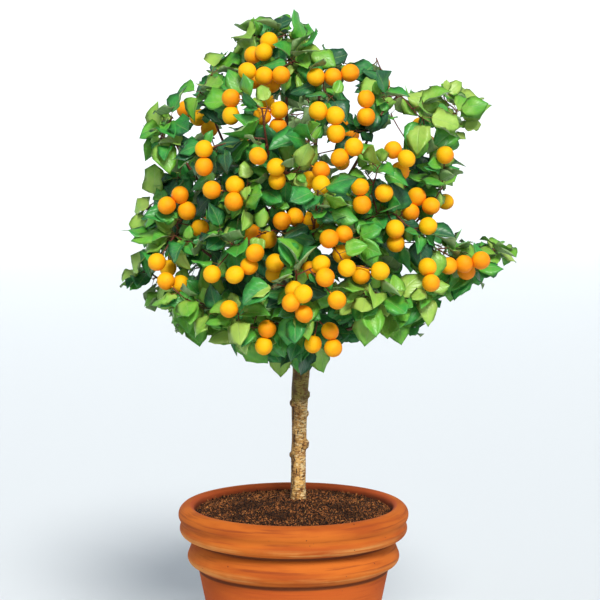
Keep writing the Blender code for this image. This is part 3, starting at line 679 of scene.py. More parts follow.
bark = Finish("stem_bark", Roughness=0.72, Specular_IOR_Level=0.35)
height = bark.axes()[2]
east = bark.facing()[0]
low_down = bark.band(height + bark.noise(14.0) * 0.06, 0.632, 0.608)
wrinkles = bark.noise(1.0, 4.0, bark.stretch(120, 120, 430), 0.65)
cracks = bark.noise(1.0, 4.0, bark.stretch(230, 230, 60), 0.6)
patches = bark.noise(60.0, 3.0)
patched = bark.band(patches, 0.35, 0.65)
tan = bark.blend(patched, (0.52, 0.250, 0.064), (0.84, 0.50, 0.155))
olive = bark.blend(patched, (0.165, 0.125, 0.030), (0.340, 0.270, 0.062))
# Cracks of the bark, partly painted shade: they run darker and wider on the stem's left side, away
# from the light.
cracks_and_shaded_side = bark.band(cracks - east * 0.035, 0.55, 0.62) * (low_down * 0.60 + 0.35)
# Pale rings of the bark, partly painted highlight: they show more on the stem's right side, towards
# the light.
pale_rings_and_highlight = bark.band(bark.noise(1.0, 2.0, bark.stretch(110, 110, 300)) + east * 0.07, 0.57, 0.64)
bark.colours(
    bark.blend(low_down, olive, tan),
    (bark.band(wrinkles, 0.49, 0.58) * 0.9, (0.160, 0.052, 0.014)),
    (cracks_and_shaded_side, (0.030, 0.012, 0.006)),
    (pale_rings_and_highlight * (low_down * 0.80 + 0.04), (0.95, 0.73, 0.38)),
    # painted shade: the stem's left side is darkened, broken up by the bark's patches
    (bark.band(east + (patches - 0.5) * 1.4, -0.25, -0.95) * 0.5, (0.055, 0.028, 0.010)),
    (bark.band(bark.attribute("scar"), 0.45, 0.85) * 0.75, (0.13, 0.060, 0.024)))
bark.bump(patches * 0.3 - wrinkles * 0.9 - cracks * 0.6, 0.0022, 1.0)
stem.data.materials.append(bark.material)
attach(stem, "root")
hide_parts("trunk")

# The crown's wood: main branches that leave the stem at the crotch and the leader, and the thin
# red-brown twigs and fruit spurs that grow from them. The plan of the whole crown, leaves and
# apricots too, is grown first; then each branch gets its wood.
GAP = 0.0003
STUB_LENGTH = 0.042
BRANCH_TIP_RADIUS = 0.0016
TWIG_END_RADIUS = 0.0013
SPUR_END_RADIUS = 0.0014
SPUR_RADIUS = 0.0020
WOOD_STEP = 0.010
TWIG_PLACES = 30
SPUR_PLACES = 60
TEST_MARGIN = 0.0006
ROSETTE_REACH = 0.022
CROWN_X = 0.030
CROWN_DEPTH = 0.95
CROWN_HALF_WIDTHS = [
    (0.60, 0.02), (0.67, 0.12), (0.71, 0.21), (0.76, 0.28), (0.82, 0.34), (0.90, 0.34),
    (1.00, 0.30), (1.12, 0.32), (1.18, 0.29), (1.24, 0.20), (1.30, 0.12), (1.36, 0.02),
]
# The crown's edges in the photograph: row, left and right pixel; and the gaps seen through it
OUTLINE = [
    (8, 284, 290), (20, 244, 316), (30, 226, 328), (45, 226, 324), (60, 206, 352), (75, 203, 392),
    (80, 203, 455), (88, 185, 482), (100, 166, 480), (120, 150, 478), (130, 145, 476),
    (150, 150, 465), (170, 154, 456), (185, 145, 452), (200, 145, 440), (215, 128, 436),
    (230, 130, 450), (240, 140, 505), (252, 134, 512), (270, 122, 506), (285, 124, 480),
    (295, 130, 450), (305, 148, 432), (320, 166, 430), (335, 182, 414), (343, 200, 405),
    (352, 238, 344), (365, 244, 336), (378, 292, 326),
]
GAPS_SEEN = [
    (197, 128, 10), (180, 116, 8), (251, 127, 7), (297, 120, 7), (386, 136, 11), (412, 121, 8),
    (431, 129, 8), (455, 110, 8), (404, 84, 10), (264, 177, 4), (333, 178, 5), (314, 191, 7),
    (198, 270, 6), (404, 273, 6), (416, 250, 5), (420, 290, 5), (301, 203, 4),
]

# Main branches: height where each leaves the leader, its tip's pixel, the tip's depth, its radius
BRANCHES = [
    (0.930, (285, 42), 0.00, 0.0065),
    (0.930, (322, 54), 0.03, 0.0065),
    (0.895, (205, 84), -0.02, 0.0050),
    (0.840, (168, 126), 0.00, 0.0055),
    (0.785, (162, 208), -0.05, 0.0050),
    (0.728, (145, 268), 0.00, 0.0055),
    (0.712, (208, 304), -0.16, 0.0050),
    (0.900, (385, 80), 0.02, 0.0050),
    (0.830, (460, 104), 0.00, 0.0055),
    (0.770, (438, 190), -0.04, 0.0050),
    (0.740, (495, 248), 0.00, 0.0055),
    (0.720, (396, 304), -0.16, 0.0050),
    (0.880, (262, 108), -0.24, 0.0050),
    (0.815, (318, 190), -0.30, 0.0050),
    (0.750, (296, 270), -0.30, 0.0050),
    (0.880, (310, 105), 0.24, 0.0050),
    (0.800, (215, 195), 0.24, 0.0050),
    (0.800, (400, 190), 0.24, 0.0050),
    (0.840, (310, 205), 0.31, 0.0050),
    (0.745, (305, 285), 0.30, 0.0050),
]

# Leaf rosettes seen in the photograph, as pixels
SEEN_ROSETTES = [
    (254, 31), (286, 31), (314, 38), (294, 58), (234, 36), (216, 68), (196, 89), (178, 108),
    (156, 136), (250, 97), (240, 135), (315, 126), (307, 167), (291, 175), (248, 196), (240, 212),
    (148, 200), (139, 216), (172, 236), (299, 232), (211, 222), (262, 228), (144, 252),
    (130, 268), (223, 250), (267, 284), (310, 285), (202, 304), (238, 306), (283, 334),
    (242, 336), (325, 350), (376, 72), (401, 91), (441, 86), (468, 94), (419, 108), (450, 104),
    (431, 126), (464, 126), (380, 158), (369, 183), (444, 186), (432, 242), (450, 252),
    (484, 244), (506, 246), (433, 290), (395, 300), (392, 314), (357, 308), (369, 288),
    (361, 245), (335, 205), (395, 205), (174, 295),
]
HIDDEN_ROSETTES = 27

# Apricot bunches seen in the photograph, each a list of pixels from its first fruit on
SEEN_BUNCHES = [
    [(269, 41), (264, 52), (253, 55)], [(264, 76), (247, 71), (281, 75)],
    [(333, 77), (316, 77), (350, 73)], [(366, 99), (366, 118)], [(231, 98), (231, 117)],
    [(279, 110), (262, 116), (278, 127)], [(318, 111), (336, 116), (336, 134)],
    [(204, 149), (204, 167)], [(276, 167), (277, 181)], [(321, 170), (321, 184)],
    [(235, 185), (234, 201)], [(180, 195), (167, 205), (187, 211)],
    [(295, 217), (282, 220), (313, 222)], [(344, 234), (329, 238)], [(354, 147), (339, 158)],
    [(393, 150), (406, 158)], [(445, 155)], [(360, 187), (362, 205)],
    [(431, 206), (417, 197), (410, 213)], [(395, 229), (396, 244)], [(166, 281), (180, 285)],
    [(249, 266), (235, 274), (255, 252)], [(321, 264), (325, 276)],
    [(294, 290), (291, 301), (303, 292)], [(464, 264), (448, 265), (482, 260)],
    [(330, 331), (334, 352)], [(267, 329), (263, 349)],
]
HIDDEN_BUNCHES = 10
BUNCH_TRIES = 24
HIDDEN_BUNCH_TRIES = 40

LEAF_TRIES = 20
SIGHT = Vector((0.0, 1.0, 0.0))
LEAVES_ON_TIPS = (3, 2, 2)
PETIOLE = 0.018
BLADE = 0.058
BLADE_HALF_WIDTH = 0.0235
BLADE_THICKNESS = 0.0016
PETIOLE_RADIUS = 0.0009
PETIOLE_ROOT_RADIUS = 0.0004
DROOPS = [0.004, 0.013, 0.024]
FRUIT_RADIUS = 0.0185
FRUIT_SPACING = 1.77 * FRUIT_RADIUS
COVERED_RADIUS = 7.5
fruits_in_view = [pixel for pixels in SEEN_BUNCHES for pixel in pixels]
tints = random.Random(5)


def outline_at(down):
    """The crown's left and right edges on a row of the photograph."""
    for (high, left, right), (low, next_left, next_right) in zip(OUTLINE, OUTLINE[1:]):
        if high <= down <= low:
            share = (down - high) / (low - high)
            return left + (next_left - left) * share, right + (next_right - right) * share
    return 300.0, 240.0


def blade_spot(matrix, across, along):
    """The point of a placed leaf at shares of its blade's half width and of its length."""
    return matrix @ Vector((across * BLADE_HALF_WIDTH, PETIOLE + BLADE * along, 0.0))


def in_gap(point, gaps, margin=0.0):
    """Whether the photograph shows a point in one of these gaps, or this near to it."""
    right, down = shown_at(point)
    return any(hypot(right - x, down - y) < radius + margin for x, y, radius in gaps)


def leaf_shows_well(matrix):
    """Whether a leaf lies in the crown, its tip a little out at most, and off the gaps."""
    for across, along, margin in ((0.0, 1.0, 9), (0.8, 0.4, 5), (-0.8, 0.4, 5), (0.0, 0.5, -2)):
        point = blade_spot(matrix, across, along)
        right, down = shown_at(point)
        left_edge, right_edge = outline_at(down)
        if not left_edge - margin <= right <= right_edge + margin or in_gap(point, GAPS_SEEN):
            return False
    return True


def pixels_from(point, pixels):
    """How far from the nearest of these pixels the photograph shows a point."""
    right, down = shown_at(point)
    return min(hypot(right - x, down - y) for x, y in pixels)


def covers_fruit(matrix):
    """Whether a near leaf hides an apricot that the photograph shows."""
    points = [blade_spot(matrix, across, along)
              for across, along in ((0.0, 1.0), (0.6, 0.4), (-0.6, 0.4), (0.0, 0.5))]
    return any(point.y < 0.05 and pixels_from(point, fruits_in_view) < COVERED_RADIUS
               for point in points)


def crown_half_width(height):
    """The crown's half width at a height."""
    for (low, narrow), (high, wide) in zip(CROWN_HALF_WIDTHS, CROWN_HALF_WIDTHS[1:]):
        if low <= height <= high:
            return narrow + (wide - narrow) * (height - low) / (high - low)
    return 0.02


def crown_point(height, radius, angle):
    """The point at a height, at a distance and an angle from the crown's axis."""
    return Vector((CROWN_X + radius * cos(angle), radius * sin(angle), height))


def on_crown_front(pixel, share):
    """The point behind this pixel at this share of the crown's depth, on the near side."""
    point = seen_at(pixel, 0.0)
    for _ in range(3):
        half = crown_half_width(point.z)
        inside = max(half * half - (point.x - CROWN_X) ** 2, 0.0)
        point = seen_at(pixel, -CROWN_DEPTH * share * sqrt(inside))
    return point


def prism(sides, stations, place):
    """A closed prism with a ring of corners at each station, moved to place(station, angle)."""
    bm = bmesh.new()
    bmesh.ops.create_cone(bm, cap_ends=True, segments=sides, radius1=1.0, radius2=1.0, depth=1.0)
    if stations > 2:
        upright = [edge for edge in bm.edges if abs(edge.verts[0].co.z - edge.verts[1].co.z) > 0.5]
        bmesh.ops.subdivide_edges(bm, edges=upright, cuts=stations - 2, use_grid_fill=True)
    for corner in bm.verts:
        station = round((corner.co.z + 0.5) * (stations - 1))
        corner.co = place(station, atan2(corner.co.y, corner.co.x))
    return bm


def tube(stations, sides, extra=0.0):
    """A tube through stations of (point, direction, radius), its rings square to the directions."""
    side = UP.cross(stations[0][1])
    if side.length < 0.1:
        side = Vector((1.0, 0.0, 0.0))
    frames = []
    for point, direction, radius in stations:
        side = (side - direction * side.dot(direction)).normalized()
        frames.append((point, side, direction.cross(side), radius + extra))

    def place(station, angle):
        point, across, other, radius = frames[station]
        return point + (across * cos(angle) + other * sin(angle)) * radius

    return prism(sides, len(frames), place)


def bezier_stations(start, start_way, end, end_way, radii, count, first=0.0):
    """Stations along a cubic curve, from the share `first` of it to its end."""
    reach = (end - start).length
    knots = [start, start + start_way * reach * 0.35, end - end_way * reach * 0.35, end]
    stations = []
    for step in range(count):
        t = first + (1.0 - first) * step / (count - 1)
        s = 1.0 - t
        point = (knots[0] * s ** 3 + knots[1] * 3 * s * s * t
                 + knots[2] * 3 * s * t * t + knots[3] * t ** 3)
        way = ((knots[1] - knots[0]) * s * s + (knots[2] - knots[1]) * 2 * s * t
               + (knots[3] - knots[2]) * t * t)
        stations.append((point, way.normalized(), radii[0] + (radii[1] - radii[0]) * t))
    return stations


class Growth:
    """What has been placed so far, kept as slightly fattened bodies that others must miss."""

    CELL = 0.06

    def __init__(self):
        self.cells = {}

    def cells_round(self, centre, reach):
        spans = [range(int((value - reach) // self.CELL), int((value + reach) // self.CELL) + 1)
                 for value in centre]
        return [(i, j, k) for i in spans[0] for j in spans[1] for k in spans[2]]

    def add(self, tree, centre, reach, node, kind):
        for cell in self.cells_round(centre, reach):
            self.cells.setdefault(cell, []).append((tree, centre, reach, node, kind))

    def is_clear(self, tree, centre, reach, allowed):
        """Whether a body misses all others but those that allowed(node, kind) lets it touch."""
        for cell in self.cells_round(centre, reach):
            for other, other_centre, other_reach, node, kind in self.cells.get(cell, ()):
                near = (other_centre - centre).length < reach + other_reach
                if near and not allowed(node, kind) and tree.overlap(other):
                    return False
        return True


def own_wood(node):
    """What a twig or leaf of a node may touch: that node's wood."""
    return lambda other, kind: other == node and kind == "wood"


def sphere_around(points):
    centre = sum(points, Vector()) / len(points)
    return centre, max((point - centre).length for point in points)


def body_of(bm):
    """A form's test tree, centre and reach."""
    centre, reach = sphere_around([vert.co for vert in bm.verts])
    tree = BVHTree.FromBMesh(bm)
    bm.free()
    return tree, centre, reach


def template_of(bm):
    """Corners and faces of a form, to be tested wherever its matrix puts it."""
    bm.verts.index_update()
    corners = [vert.co.copy() for vert in bm.verts]
    faces = [[vert.index for vert in face.verts] for face in bm.faces]
    bm.free()
    return corners, faces


def placed(template, matrix):
    """A template's test tree, centre and reach at a matrix."""
    corners = [matrix @ corner for corner in template[0]]
    return (BVHTree.FromPolygons(corners, template[1]), *sphere_around(corners))


def grow_branch(start_height, pixel, depth, radius):
    """A main branch: its whole curve from the stem's middle, and its stations past its stub."""
    stem = stem_stations()
    start = FORK.copy()
    for (low, *_), (high, *_) in zip(stem, stem[1:]):
        if low.z <= start_height < high.z:
            start = low.lerp(high, (start_height - low.z) / (high.z - low.z))
    tip = seen_at(pixel, depth)
    reach = tip - start
    outward = Vector((reach.x, reach.y, 0.0)).normalized()
    rise = atan2(reach.z, Vector((reach.x, reach.y)).length)
    start_way, end_way = (outward * cos(angle) + UP * sin(angle)
                          for angle in (rise - 0.20, min(rise + 0.35, 1.5)))
    curve = (start, start_way, tip, end_way, (radius, BRANCH_TIP_RADIUS))
    beyond = bezier_stations(*curve, 6, STUB_LENGTH / reach.length)
    point, along, thick = beyond[0]
    beyond[0] = (point + along * GAP, along, thick)
    return curve, beyond


def leaf_form(droop, extra=0.0):
    """A leaf along +Y, its face to +Z: petiole, two wide stations and a pointed tip."""
    stations = [
        (0.0, 0.0, PETIOLE_ROOT_RADIUS, PETIOLE_ROOT_RADIUS),
        (PETIOLE, 0.0030, PETIOLE_RADIUS, PETIOLE_RADIUS),
        (PETIOLE + BLADE * 0.27, 0.0030 - droop * 0.08, BLADE_HALF_WIDTH, BLADE_THICKNESS / 2),
        (PETIOLE + BLADE * 0.66, 0.0030 - droop * 0.45, BLADE_HALF_WIDTH * 0.76,
         BLADE_THICKNESS / 2),
        (PETIOLE + BLADE, 0.0030 - droop, 0.0, 0.0),
    ]

    def place(station, angle):
        along, height, half_width, half_thickness = stations[station]
        return Vector((cos(angle) / cos(pi / 6) * (half_width + extra), along,
                       height - sin(angle) * (half_thickness + extra)))

    bm = prism(3, len(stations), place)
    bmesh.ops.remove_doubles(bm, verts=bm.verts, dist=0.00001)
    return bm


def ball(sides, rings, radius):
    bm = bmesh.new()
    bmesh.ops.create_uvsphere(bm, u_segments=sides, v_segments=rings, radius=radius)
    return bm


def facing(axis_y, axis_z):
    """A rotation whose Y is the first way and whose Z leans to the second."""
    y = axis_y.normalized()
    x = y.cross(axis_z).normalized()
    return Matrix((x, y, x.cross(y))).transposed()


class Crown:
    """The crown in the making: each branch's wood and leaves, and each bunch's apricots."""

    def __init__(self, branches):
        self.growth = Growth()
        self.wood = []
        self.curves = {}
        self.leaves = {}
        self.fruits = {}
        self.unhung = []
        self.hides = covers_fruit
        self.fruit_template = template_of(ball(12, 8, FRUIT_RADIUS + 0.0008))
        self.leaf_templates = [template_of(leaf_form(droop, 0.0005)) for droop in DROOPS]
        for index, (curve, stations) in enumerate(branches):
            name = f"leafy_branch_{index + 1:02d}"
            self.curves[name] = []
            self.leaves[name] = []
            self.add_wood(name, curve, stations, 5, 0.0)

    def add_wood(self, node, curve, stations, sides, distance):
        """Keeps a curve of wood, its test body, and points along it for what grows from it."""
        self.curves[node].append(curve)
        for before, after in zip(stations, stations[1:]):
            self.growth.add(*body_of(tube([before, after], sides, TEST_MARGIN)), node, "wood")
            length = (after[0] - before[0]).length
            steps = max(int(length / WOOD_STEP), 1)
            for step in range(steps):
                share = (step + 0.5) / steps
                point = before[0].lerp(after[0], share)
                way = before[1].lerp(after[1], share).normalized()
                radius = before[2] + (after[2] - before[2]) * share
                self.wood.append((point, way, radius, distance + length * share, node))
            distance += length
        self.wood.append((*stations[-1], distance, node))

    def nearest_wood(self, target, count):
        """Places on the wood, best first: near the target, near the stem, and not turned back."""
        ranked = []
        for index, (point, way, radius, distance, node) in enumerate(self.wood):
            reach = target - point
            if reach.length < ROSETTE_REACH + 0.012:
                continue
            turn = reach.normalized().dot(way)
            cost = reach.length + 0.15 * distance + (0.06 * (0.3 - turn) if turn < 0.3 else 0.0)
            ranked.append((cost, index))
        ranked.sort()
        return [self.wood[index] for _, index in ranked[:count]]

    def grow_twig(self, target):
        """A twig from the wood towards a point, clear of all so far: its end, the point
        before it and its node."""
        for point, way, radius, distance, node in self.nearest_wood(target, TWIG_PLACES):
            reach = target - point
            start_way = (way * 0.5 + reach.normalized()).normalized()
            end_way = (reach.normalized() + UP * 0.35).normalized()
            thick = min(radius * 0.85, TWIG_END_RADIUS + reach.length * 0.010)
            end = target - reach.normalized() * ROSETTE_REACH
            curve = (point, start_way, end, end_way, (thick, TWIG_END_RADIUS))
            stations = bezier_stations(*curve, 3)
            if self.growth.is_clear(*body_of(tube(stations, 3, TEST_MARGIN)), own_wood(node)):
                self.add_wood(node, curve, stations, 3, distance)
                return stations[-1][0], stations[-2][0], node
        return None

    def add_bunch(self, fruits, title="apricots"):
        """Names a bunch of fruit centres, to be hung later, if it misses all so far."""
        bodies = [placed(self.fruit_template, Matrix.Translation(centre)) for centre in fruits]
        if not all(self.growth.is_clear(*body, lambda other, kind: False) for body in bodies):
            return False
        name = f"{title}_{sum(key.startswith(title) for key in self.fruits) + 1:02d}"
        self.fruits[name] = []
        self.unhung.append((name, fruits))
        for body in bodies:
            self.growth.add(*body, name, "fruit")
        return True

    def hang_bunch(self, name, fruits):
        """A straight spur to the bunch's first fruit, whose pole meets the spur's end."""
        first = fruits[0]
        places = self.nearest_wood(first + UP * 0.010, SPUR_PLACES)
        for point, way, radius, distance, node in places:
            reach = first - point
            if reach.length < FRUIT_RADIUS + 0.006:
                continue
            along = reach.normalized()
            end = first - along * (FRUIT_RADIUS + GAP)
            thick = min(radius * 0.8, SPUR_RADIUS)
            stations = [(point, along, thick), (end, along, SPUR_END_RADIUS)]

            def allowed(other, kind):
                return (other == node and kind == "wood") or other == name

            misses_bunch = all(passes_fruit(point, end, other) for other in fruits[1:])
            if misses_bunch and self.growth.is_clear(*body_of(tube(stations, 3)), allowed):
                curve = (point, along, end + along * 0.0012, along, (thick, SPUR_END_RADIUS))
                self.add_wood(node, curve, stations, 3, distance)
                axis = -along
                for index, centre in enumerate(fruits):
                    if index > 0:
                        nearest = min(fruits[:index], key=lambda other: (other - centre).length)
                        axis = (nearest - centre).normalized()
                    turn = UP.rotation_difference(axis).to_matrix().to_4x4()
                    self.fruits[name].append(Matrix.Translation(centre) @ turn)
                return True
        return False

    def hang_bunches(self):
        """Hangs the bunches that wait for it, and gives up those that no spur reaches."""
        for name, fruits in self.unhung:
            if not self.hang_bunch(name, fruits):
                del self.fruits[name]
        self.unhung = []

    def add_leaf(self, draw, root, way, node, size, light, lift=0.0):
        """One leaf at a root, drawn again until it fits the crown and misses its neighbours."""
        for _ in range(LEAF_TRIES):
            spread = Vector((draw.uniform(-1, 1), draw.uniform(-1, 1), draw.uniform(-1, 1)))
            across = (spread - way * spread.dot(way)).normalized()
            lean = radians(draw.uniform(50, 88))
            along = way * cos(lean) + across * sin(lean) - UP * draw.uniform(-0.1, 0.45)
            outward = Vector((root.x - CROWN_X, root.y, 0.0)).normalized()
            sunny = (outward - SIGHT * max(0.0, 0.9 - 2.4 * max(root.y, 0.0))).normalized()
            along -= sunny * along.dot(sunny) * 0.6
            along = Vector((along.x, along.y, along.z * 0.7)) + outward * 0.25
            along = along.lerp(UP + spread * 0.3, lift)
            face = UP * 0.80 + sunny * 0.80 + spread * 0.45
            scale = size * draw.uniform(0.72, 1.12)
            kind = draw.randrange(len(DROOPS))
            turned = facing(along, face).to_4x4()
            matrix = Matrix.Translation(root) @ turned @ Matrix.Scale(scale, 4)
            if not leaf_shows_well(matrix) or self.hides(matrix):
                continue
            body = placed(self.leaf_templates[kind], matrix)
            if self.growth.is_clear(*body, own_wood(node)):
                self.growth.add(*body, node, "leaf")
                self.leaves[node].append((matrix, kind, light))
                return True
        return False


def passes_fruit(start, end, centre):
    """Whether a straight spur passes a fruit's centre at a safe distance."""
    along = end - start
    share = max(0.0, min(1.0, (centre - start).dot(along) / along.length_squared))
    return (start + along * share - centre).length > FRUIT_RADIUS + 0.003


def chained_bunch(pixels, share, side):
    """Centres of touching fruits: each is drawn to the nearest one before it."""
    fruits = [on_crown_front(pixels[0], share)]
    for pixel in pixels[1:]:
        wanted = seen_at(pixel, fruits[0].y)
        nearest = min(fruits, key=lambda other: (other - wanted).length)
        offset = wanted - nearest
        if offset.length > FRUIT_SPACING:
            offset = offset.normalized() * FRUIT_SPACING
        else:
            offset.y += side * sqrt(FRUIT_SPACING ** 2 - offset.length_squared)
        fruits.append(nearest + offset)
    return fruits


def add_seen_bunches(crown, draw, bunches, share, step, title="apricots"):
    """Bunches that the photograph shows, each put further in until it misses all so far."""
    for pixels in bunches:
        for attempt in range(BUNCH_TRIES):
            side = draw.choice((-1.0, 1.0))
            if crown.add_bunch(chained_bunch(pixels, share - step * attempt, side), title):
                break


def add_hidden_bunches(crown, draw):
    """Bunches round the crown's far side."""
    for index in range(HIDDEN_BUNCHES):
        for _ in range(HIDDEN_BUNCH_TRIES):
            height = 0.74 + 0.50 * (index + 0.5) / HIDDEN_BUNCHES + draw.uniform(-0.02, 0.02)
            angle = pi * (0.5 + 0.47 * sin(2.4 * index + 1.0)) + draw.uniform(-0.15, 0.15)
            radius = crown_half_width(height) * draw.uniform(0.65, 0.92)
            fruits = [crown_point(height, radius, angle)]
            for _ in range(draw.choice((1, 2))):
                way = Vector((draw.uniform(-1, 1), draw.uniform(-1, 1), draw.uniform(-1.0, 0.3)))
                fruits.append(fruits[-1] + way.normalized() * FRUIT_SPACING)
            apart = len(fruits) < 3 or (fruits[2] - fruits[0]).length > FRUIT_SPACING
            if apart and crown.add_bunch(fruits):
                break


def hidden_targets(draw, count):
    """Points over the crown's far half, spread by the golden angle."""
    golden = pi * (3.0 - sqrt(5.0))
    targets = []
    for index in range(count):
        height = 0.70 + 0.62 * (index + 0.5) / count
        radius = crown_half_width(height) * draw.uniform(0.80, 0.98)
        targets.append(crown_point(height, radius, (golden * index) % pi))
    return targets


def light_of_leaf(root, index):
    """How light a leaf is painted: lightest where it is young at a twig's end, and darker inside
    the crown as painted shade.
    """
    half = crown_half_width(root.z) + 0.02
    outer = min(hypot(root.x - CROWN_X, root.y / CROWN_DEPTH) / half, 1.0)
    light = 0.08 + 0.40 * outer ** 2 - 0.06 * index + tints.uniform(-0.28, 0.28)
    if pixels_from(root, SEEN_ROSETTES) < 13 and root.y < 0.03:
        light += 0.42
    return max(0.0, min(1.0, light))


def grow_crown(branches, draw):
    """The crown's wood, bunches and outer leaves, and the twig ends that carry them."""
    crown = Crown(branches)
    tips = [(stations[-1][0], stations[-2][0], f"leafy_branch_{index + 1:02d}")
            for index, (_, stations) in enumerate(branches)]
    add_seen_bunches(crown, draw, SEEN_BUNCHES, 0.90, 0.03)
    add_hidden_bunches(crown, draw)
    targets = [on_crown_front(pixel, draw.uniform(0.75, 1.0)) for pixel in SEEN_ROSETTES]
    targets += hidden_targets(draw, HIDDEN_ROSETTES)
    centre = Vector((CROWN_X, 0.0, 0.90))
    targets.sort(key=lambda target: (target - centre).length)
    tips += [tip for tip in map(crown.grow_twig, targets) if tip]
    crown.hang_bunches()
    for number, (end, before, node) in enumerate(tips):
        way = (end - before).normalized()
        spacing = min(0.006, 0.45 * ((end - before).length - 0.002))
        for index in range(LEAVES_ON_TIPS[number % len(LEAVES_ON_TIPS)]):
            root = end - way * (0.0015 + spacing * index)
            crown.add_leaf(draw, root, way, node, 1.0, light_of_leaf(root, index))
    return crown, tips


# What fills the crown out: apricots between the leaves, twigs of sparse edges, inner twigs and
# leaves; and where leaves keep off, as pixels
EXTRA_BUNCHES = [
    [(272, 84)], [(309, 180)], [(400, 171)], [(310, 270)], [(168, 268)], [(258, 156)],
    [(200, 228)], [(268, 239), (251, 233)], [(347, 268)], [(342, 254)], [(361, 275)],
    [(275, 263), (274, 275)], [(304, 314)], [(337, 300)], [(229, 309)], [(380, 271)],
    [(431, 283), (428, 268)], [(157, 262)], [(212, 190)], [(212, 274)], [(313, 344)],
    [(466, 271)], [(384, 193)], [(428, 226)], [(254, 80)],
]
EXTRA_HIDDEN_BUNCHES = 9
EXTRA_TWIGS = 194
SPARSE_EDGES = [(322, 352), (252, 344), (240, 42), (246, 34)]
# Rows between which the inner twigs end, and the shares of the crown's depth, near side first
LOW_ROWS, HIGH_ROWS, LOW_ROWS_SHARE = (165, 350), (22, 165), 0.70
NEAR_DEPTHS, FAR_DEPTHS, NEAR_SHARE = (0.25, 0.95), (-0.95, 0.25), 0.55
SKIRT_ROW = 285
TIP_LEAVES = 4
LEAVES_ALONG_WOOD = 740
# Where the crown's edge is notched between its sprays, and more gaps in it, each with its radius
NOTCHES_SEEN = [
    (298, 17, 6), (266, 23, 7), (298, 38, 5), (329, 44, 9), (232, 43, 6), (210, 58, 9),
    (204, 70, 6), (353, 60, 5), (368, 59, 4), (391, 85, 8), (402, 107, 12), (396, 118, 8),
    (420, 92, 8), (436, 92, 6), (478, 106, 9), (436, 114, 6), (413, 127, 6), (475, 137, 7),
    (455, 140, 5), (463, 150, 6), (367, 143, 8), (420, 157, 4), (441, 220, 7), (441, 238, 6),
    (509, 262, 8), (483, 281, 4), (446, 295, 6), (434, 316, 6), (380, 346, 7), (400, 346, 6),
    (352, 350, 8), (336, 362, 7), (260, 363, 9), (233, 355, 5), (225, 343, 8), (207, 342, 5),
    (161, 315, 7), (175, 325, 5), (149, 292, 6), (193, 275, 4), (150, 229, 8), (140, 240, 10),
    (133, 252, 9), (127, 265, 7), (121, 278, 6), (138, 204, 7), (147, 155, 6), (147, 172, 6),
    (148, 186, 4), (150, 112, 9), (143, 135, 5), (176, 92, 8), (190, 85, 6), (220, 137, 6),
]
# Spots of a blade that may not hide an apricot, and how a leaf that does is swung and made smaller
BLADE_SPOTS = [(0.0, 0.15), (0.0, 0.5), (0.0, 0.8), (0.0, 1.0), (0.85, 0.3), (-0.85, 0.3),
               (0.7, 0.6), (-0.7, 0.6), (0.45, 0.12), (-0.45, 0.12), (0.35, 0.82), (-0.35, 0.82)]
SWINGS = (20, -20, 40, -40, 60, -60, 85, -85, 110, -110, 140, -140, 180)
SWUNG_LEAF_SHARES = (1.0, 0.78, 0.6)
# In pixels: how near a shown apricot a leaf may show, before and after the swings
FRUIT_RADIUS_SEEN = 8.0
FRUIT_RADIUS_CLEAR = 4.5
BUILT_AS_SEEN = 5.0
LEAF_RADIUS_SEEN = 38.0
LEAF_REACH = 0.06
SHADOW_REACH = 0.16
# The share of an apricot's radius that is kept in the light
LIT_SHARE = 0.6
CROWN_FRONT = -0.342
shown_fruits = []


def spots_over_fruit(matrix, radius_seen):
    """How far a leaf stands before the apricots that the photograph shows, and in their light."""
    middle = blade_spot(matrix, 0.0, 0.5)
    right, down = shown_at(middle)
    near = [(x, y, centre) for x, y, centre in shown_fruits
            if hypot(right - x, down - y) < LEAF_RADIUS_SEEN
            or (middle - centre).length < SHADOW_REACH + LEAF_REACH]
    found = 0
    for across, along in BLADE_SPOTS:
        point = blade_spot(matrix, across, along)
        right, down = shown_at(point)
        for x, y, centre in near:
            if point.y < centre.y and hypot(right - x, down - y) < radius_seen:
                found += 2
            rise = (point - centre).dot(KEY_LIGHT)
            beside = (point - centre - KEY_LIGHT * rise).length
            if 0.0 < rise < SHADOW_REACH and beside < LIT_SHARE * FRUIT_RADIUS:
                found += 1
    return found


def uncover_fruits(crown):
    """Swings each leaf that stands before such an apricot aside, about its root."""
    for fruits in crown.fruits.values():
        for centre in (matrix.translation for matrix in fruits):
            if pixels_from(centre, fruits_in_view) < BUILT_AS_SEEN and centre.y < 0.0:
                shown_fruits.append((*shown_at(centre), centre))
    swings = [Matrix.Rotation(radians(angle), 4, SIGHT) @ Matrix.Scale(share, 4)
              for share in SWUNG_LEAF_SHARES for angle in SWINGS]
    for node, leaves in crown.leaves.items():

        def allowed(other, kind):
            return kind == "leaf" or (other == node and kind == "wood")

        for number, (matrix, kind, light) in enumerate(leaves):
            fewest = spots_over_fruit(matrix, FRUIT_RADIUS_SEEN)
            root = Matrix.Translation(matrix.translation)
            for swing in swings:
                if fewest == 0:
                    break
                swung = root @ swing @ root.inverted() @ matrix
                spots = spots_over_fruit(swung, FRUIT_RADIUS_SEEN)
                body = placed(crown.leaf_templates[kind], swung)
                if (spots < fewest and leaf_shows_well(swung)
                        and crown.growth.is_clear(*body, allowed)):
                    fewest = spots
                    leaves[number] = (swung, kind, light)
            if leaves[number][0] is not matrix:
                body = placed(crown.leaf_templates[kind], leaves[number][0])
                crown.growth.add(*body, node, "leaf")


def out_of_place(matrix):
    """Whether a leaf hides a shown apricot or stands before the crown's nearest point."""
    tip = blade_spot(matrix, 0.0, 1.0)
    return tip.y <= CROWN_FRONT or spots_over_fruit(matrix, FRUIT_RADIUS_CLEAR) > 0


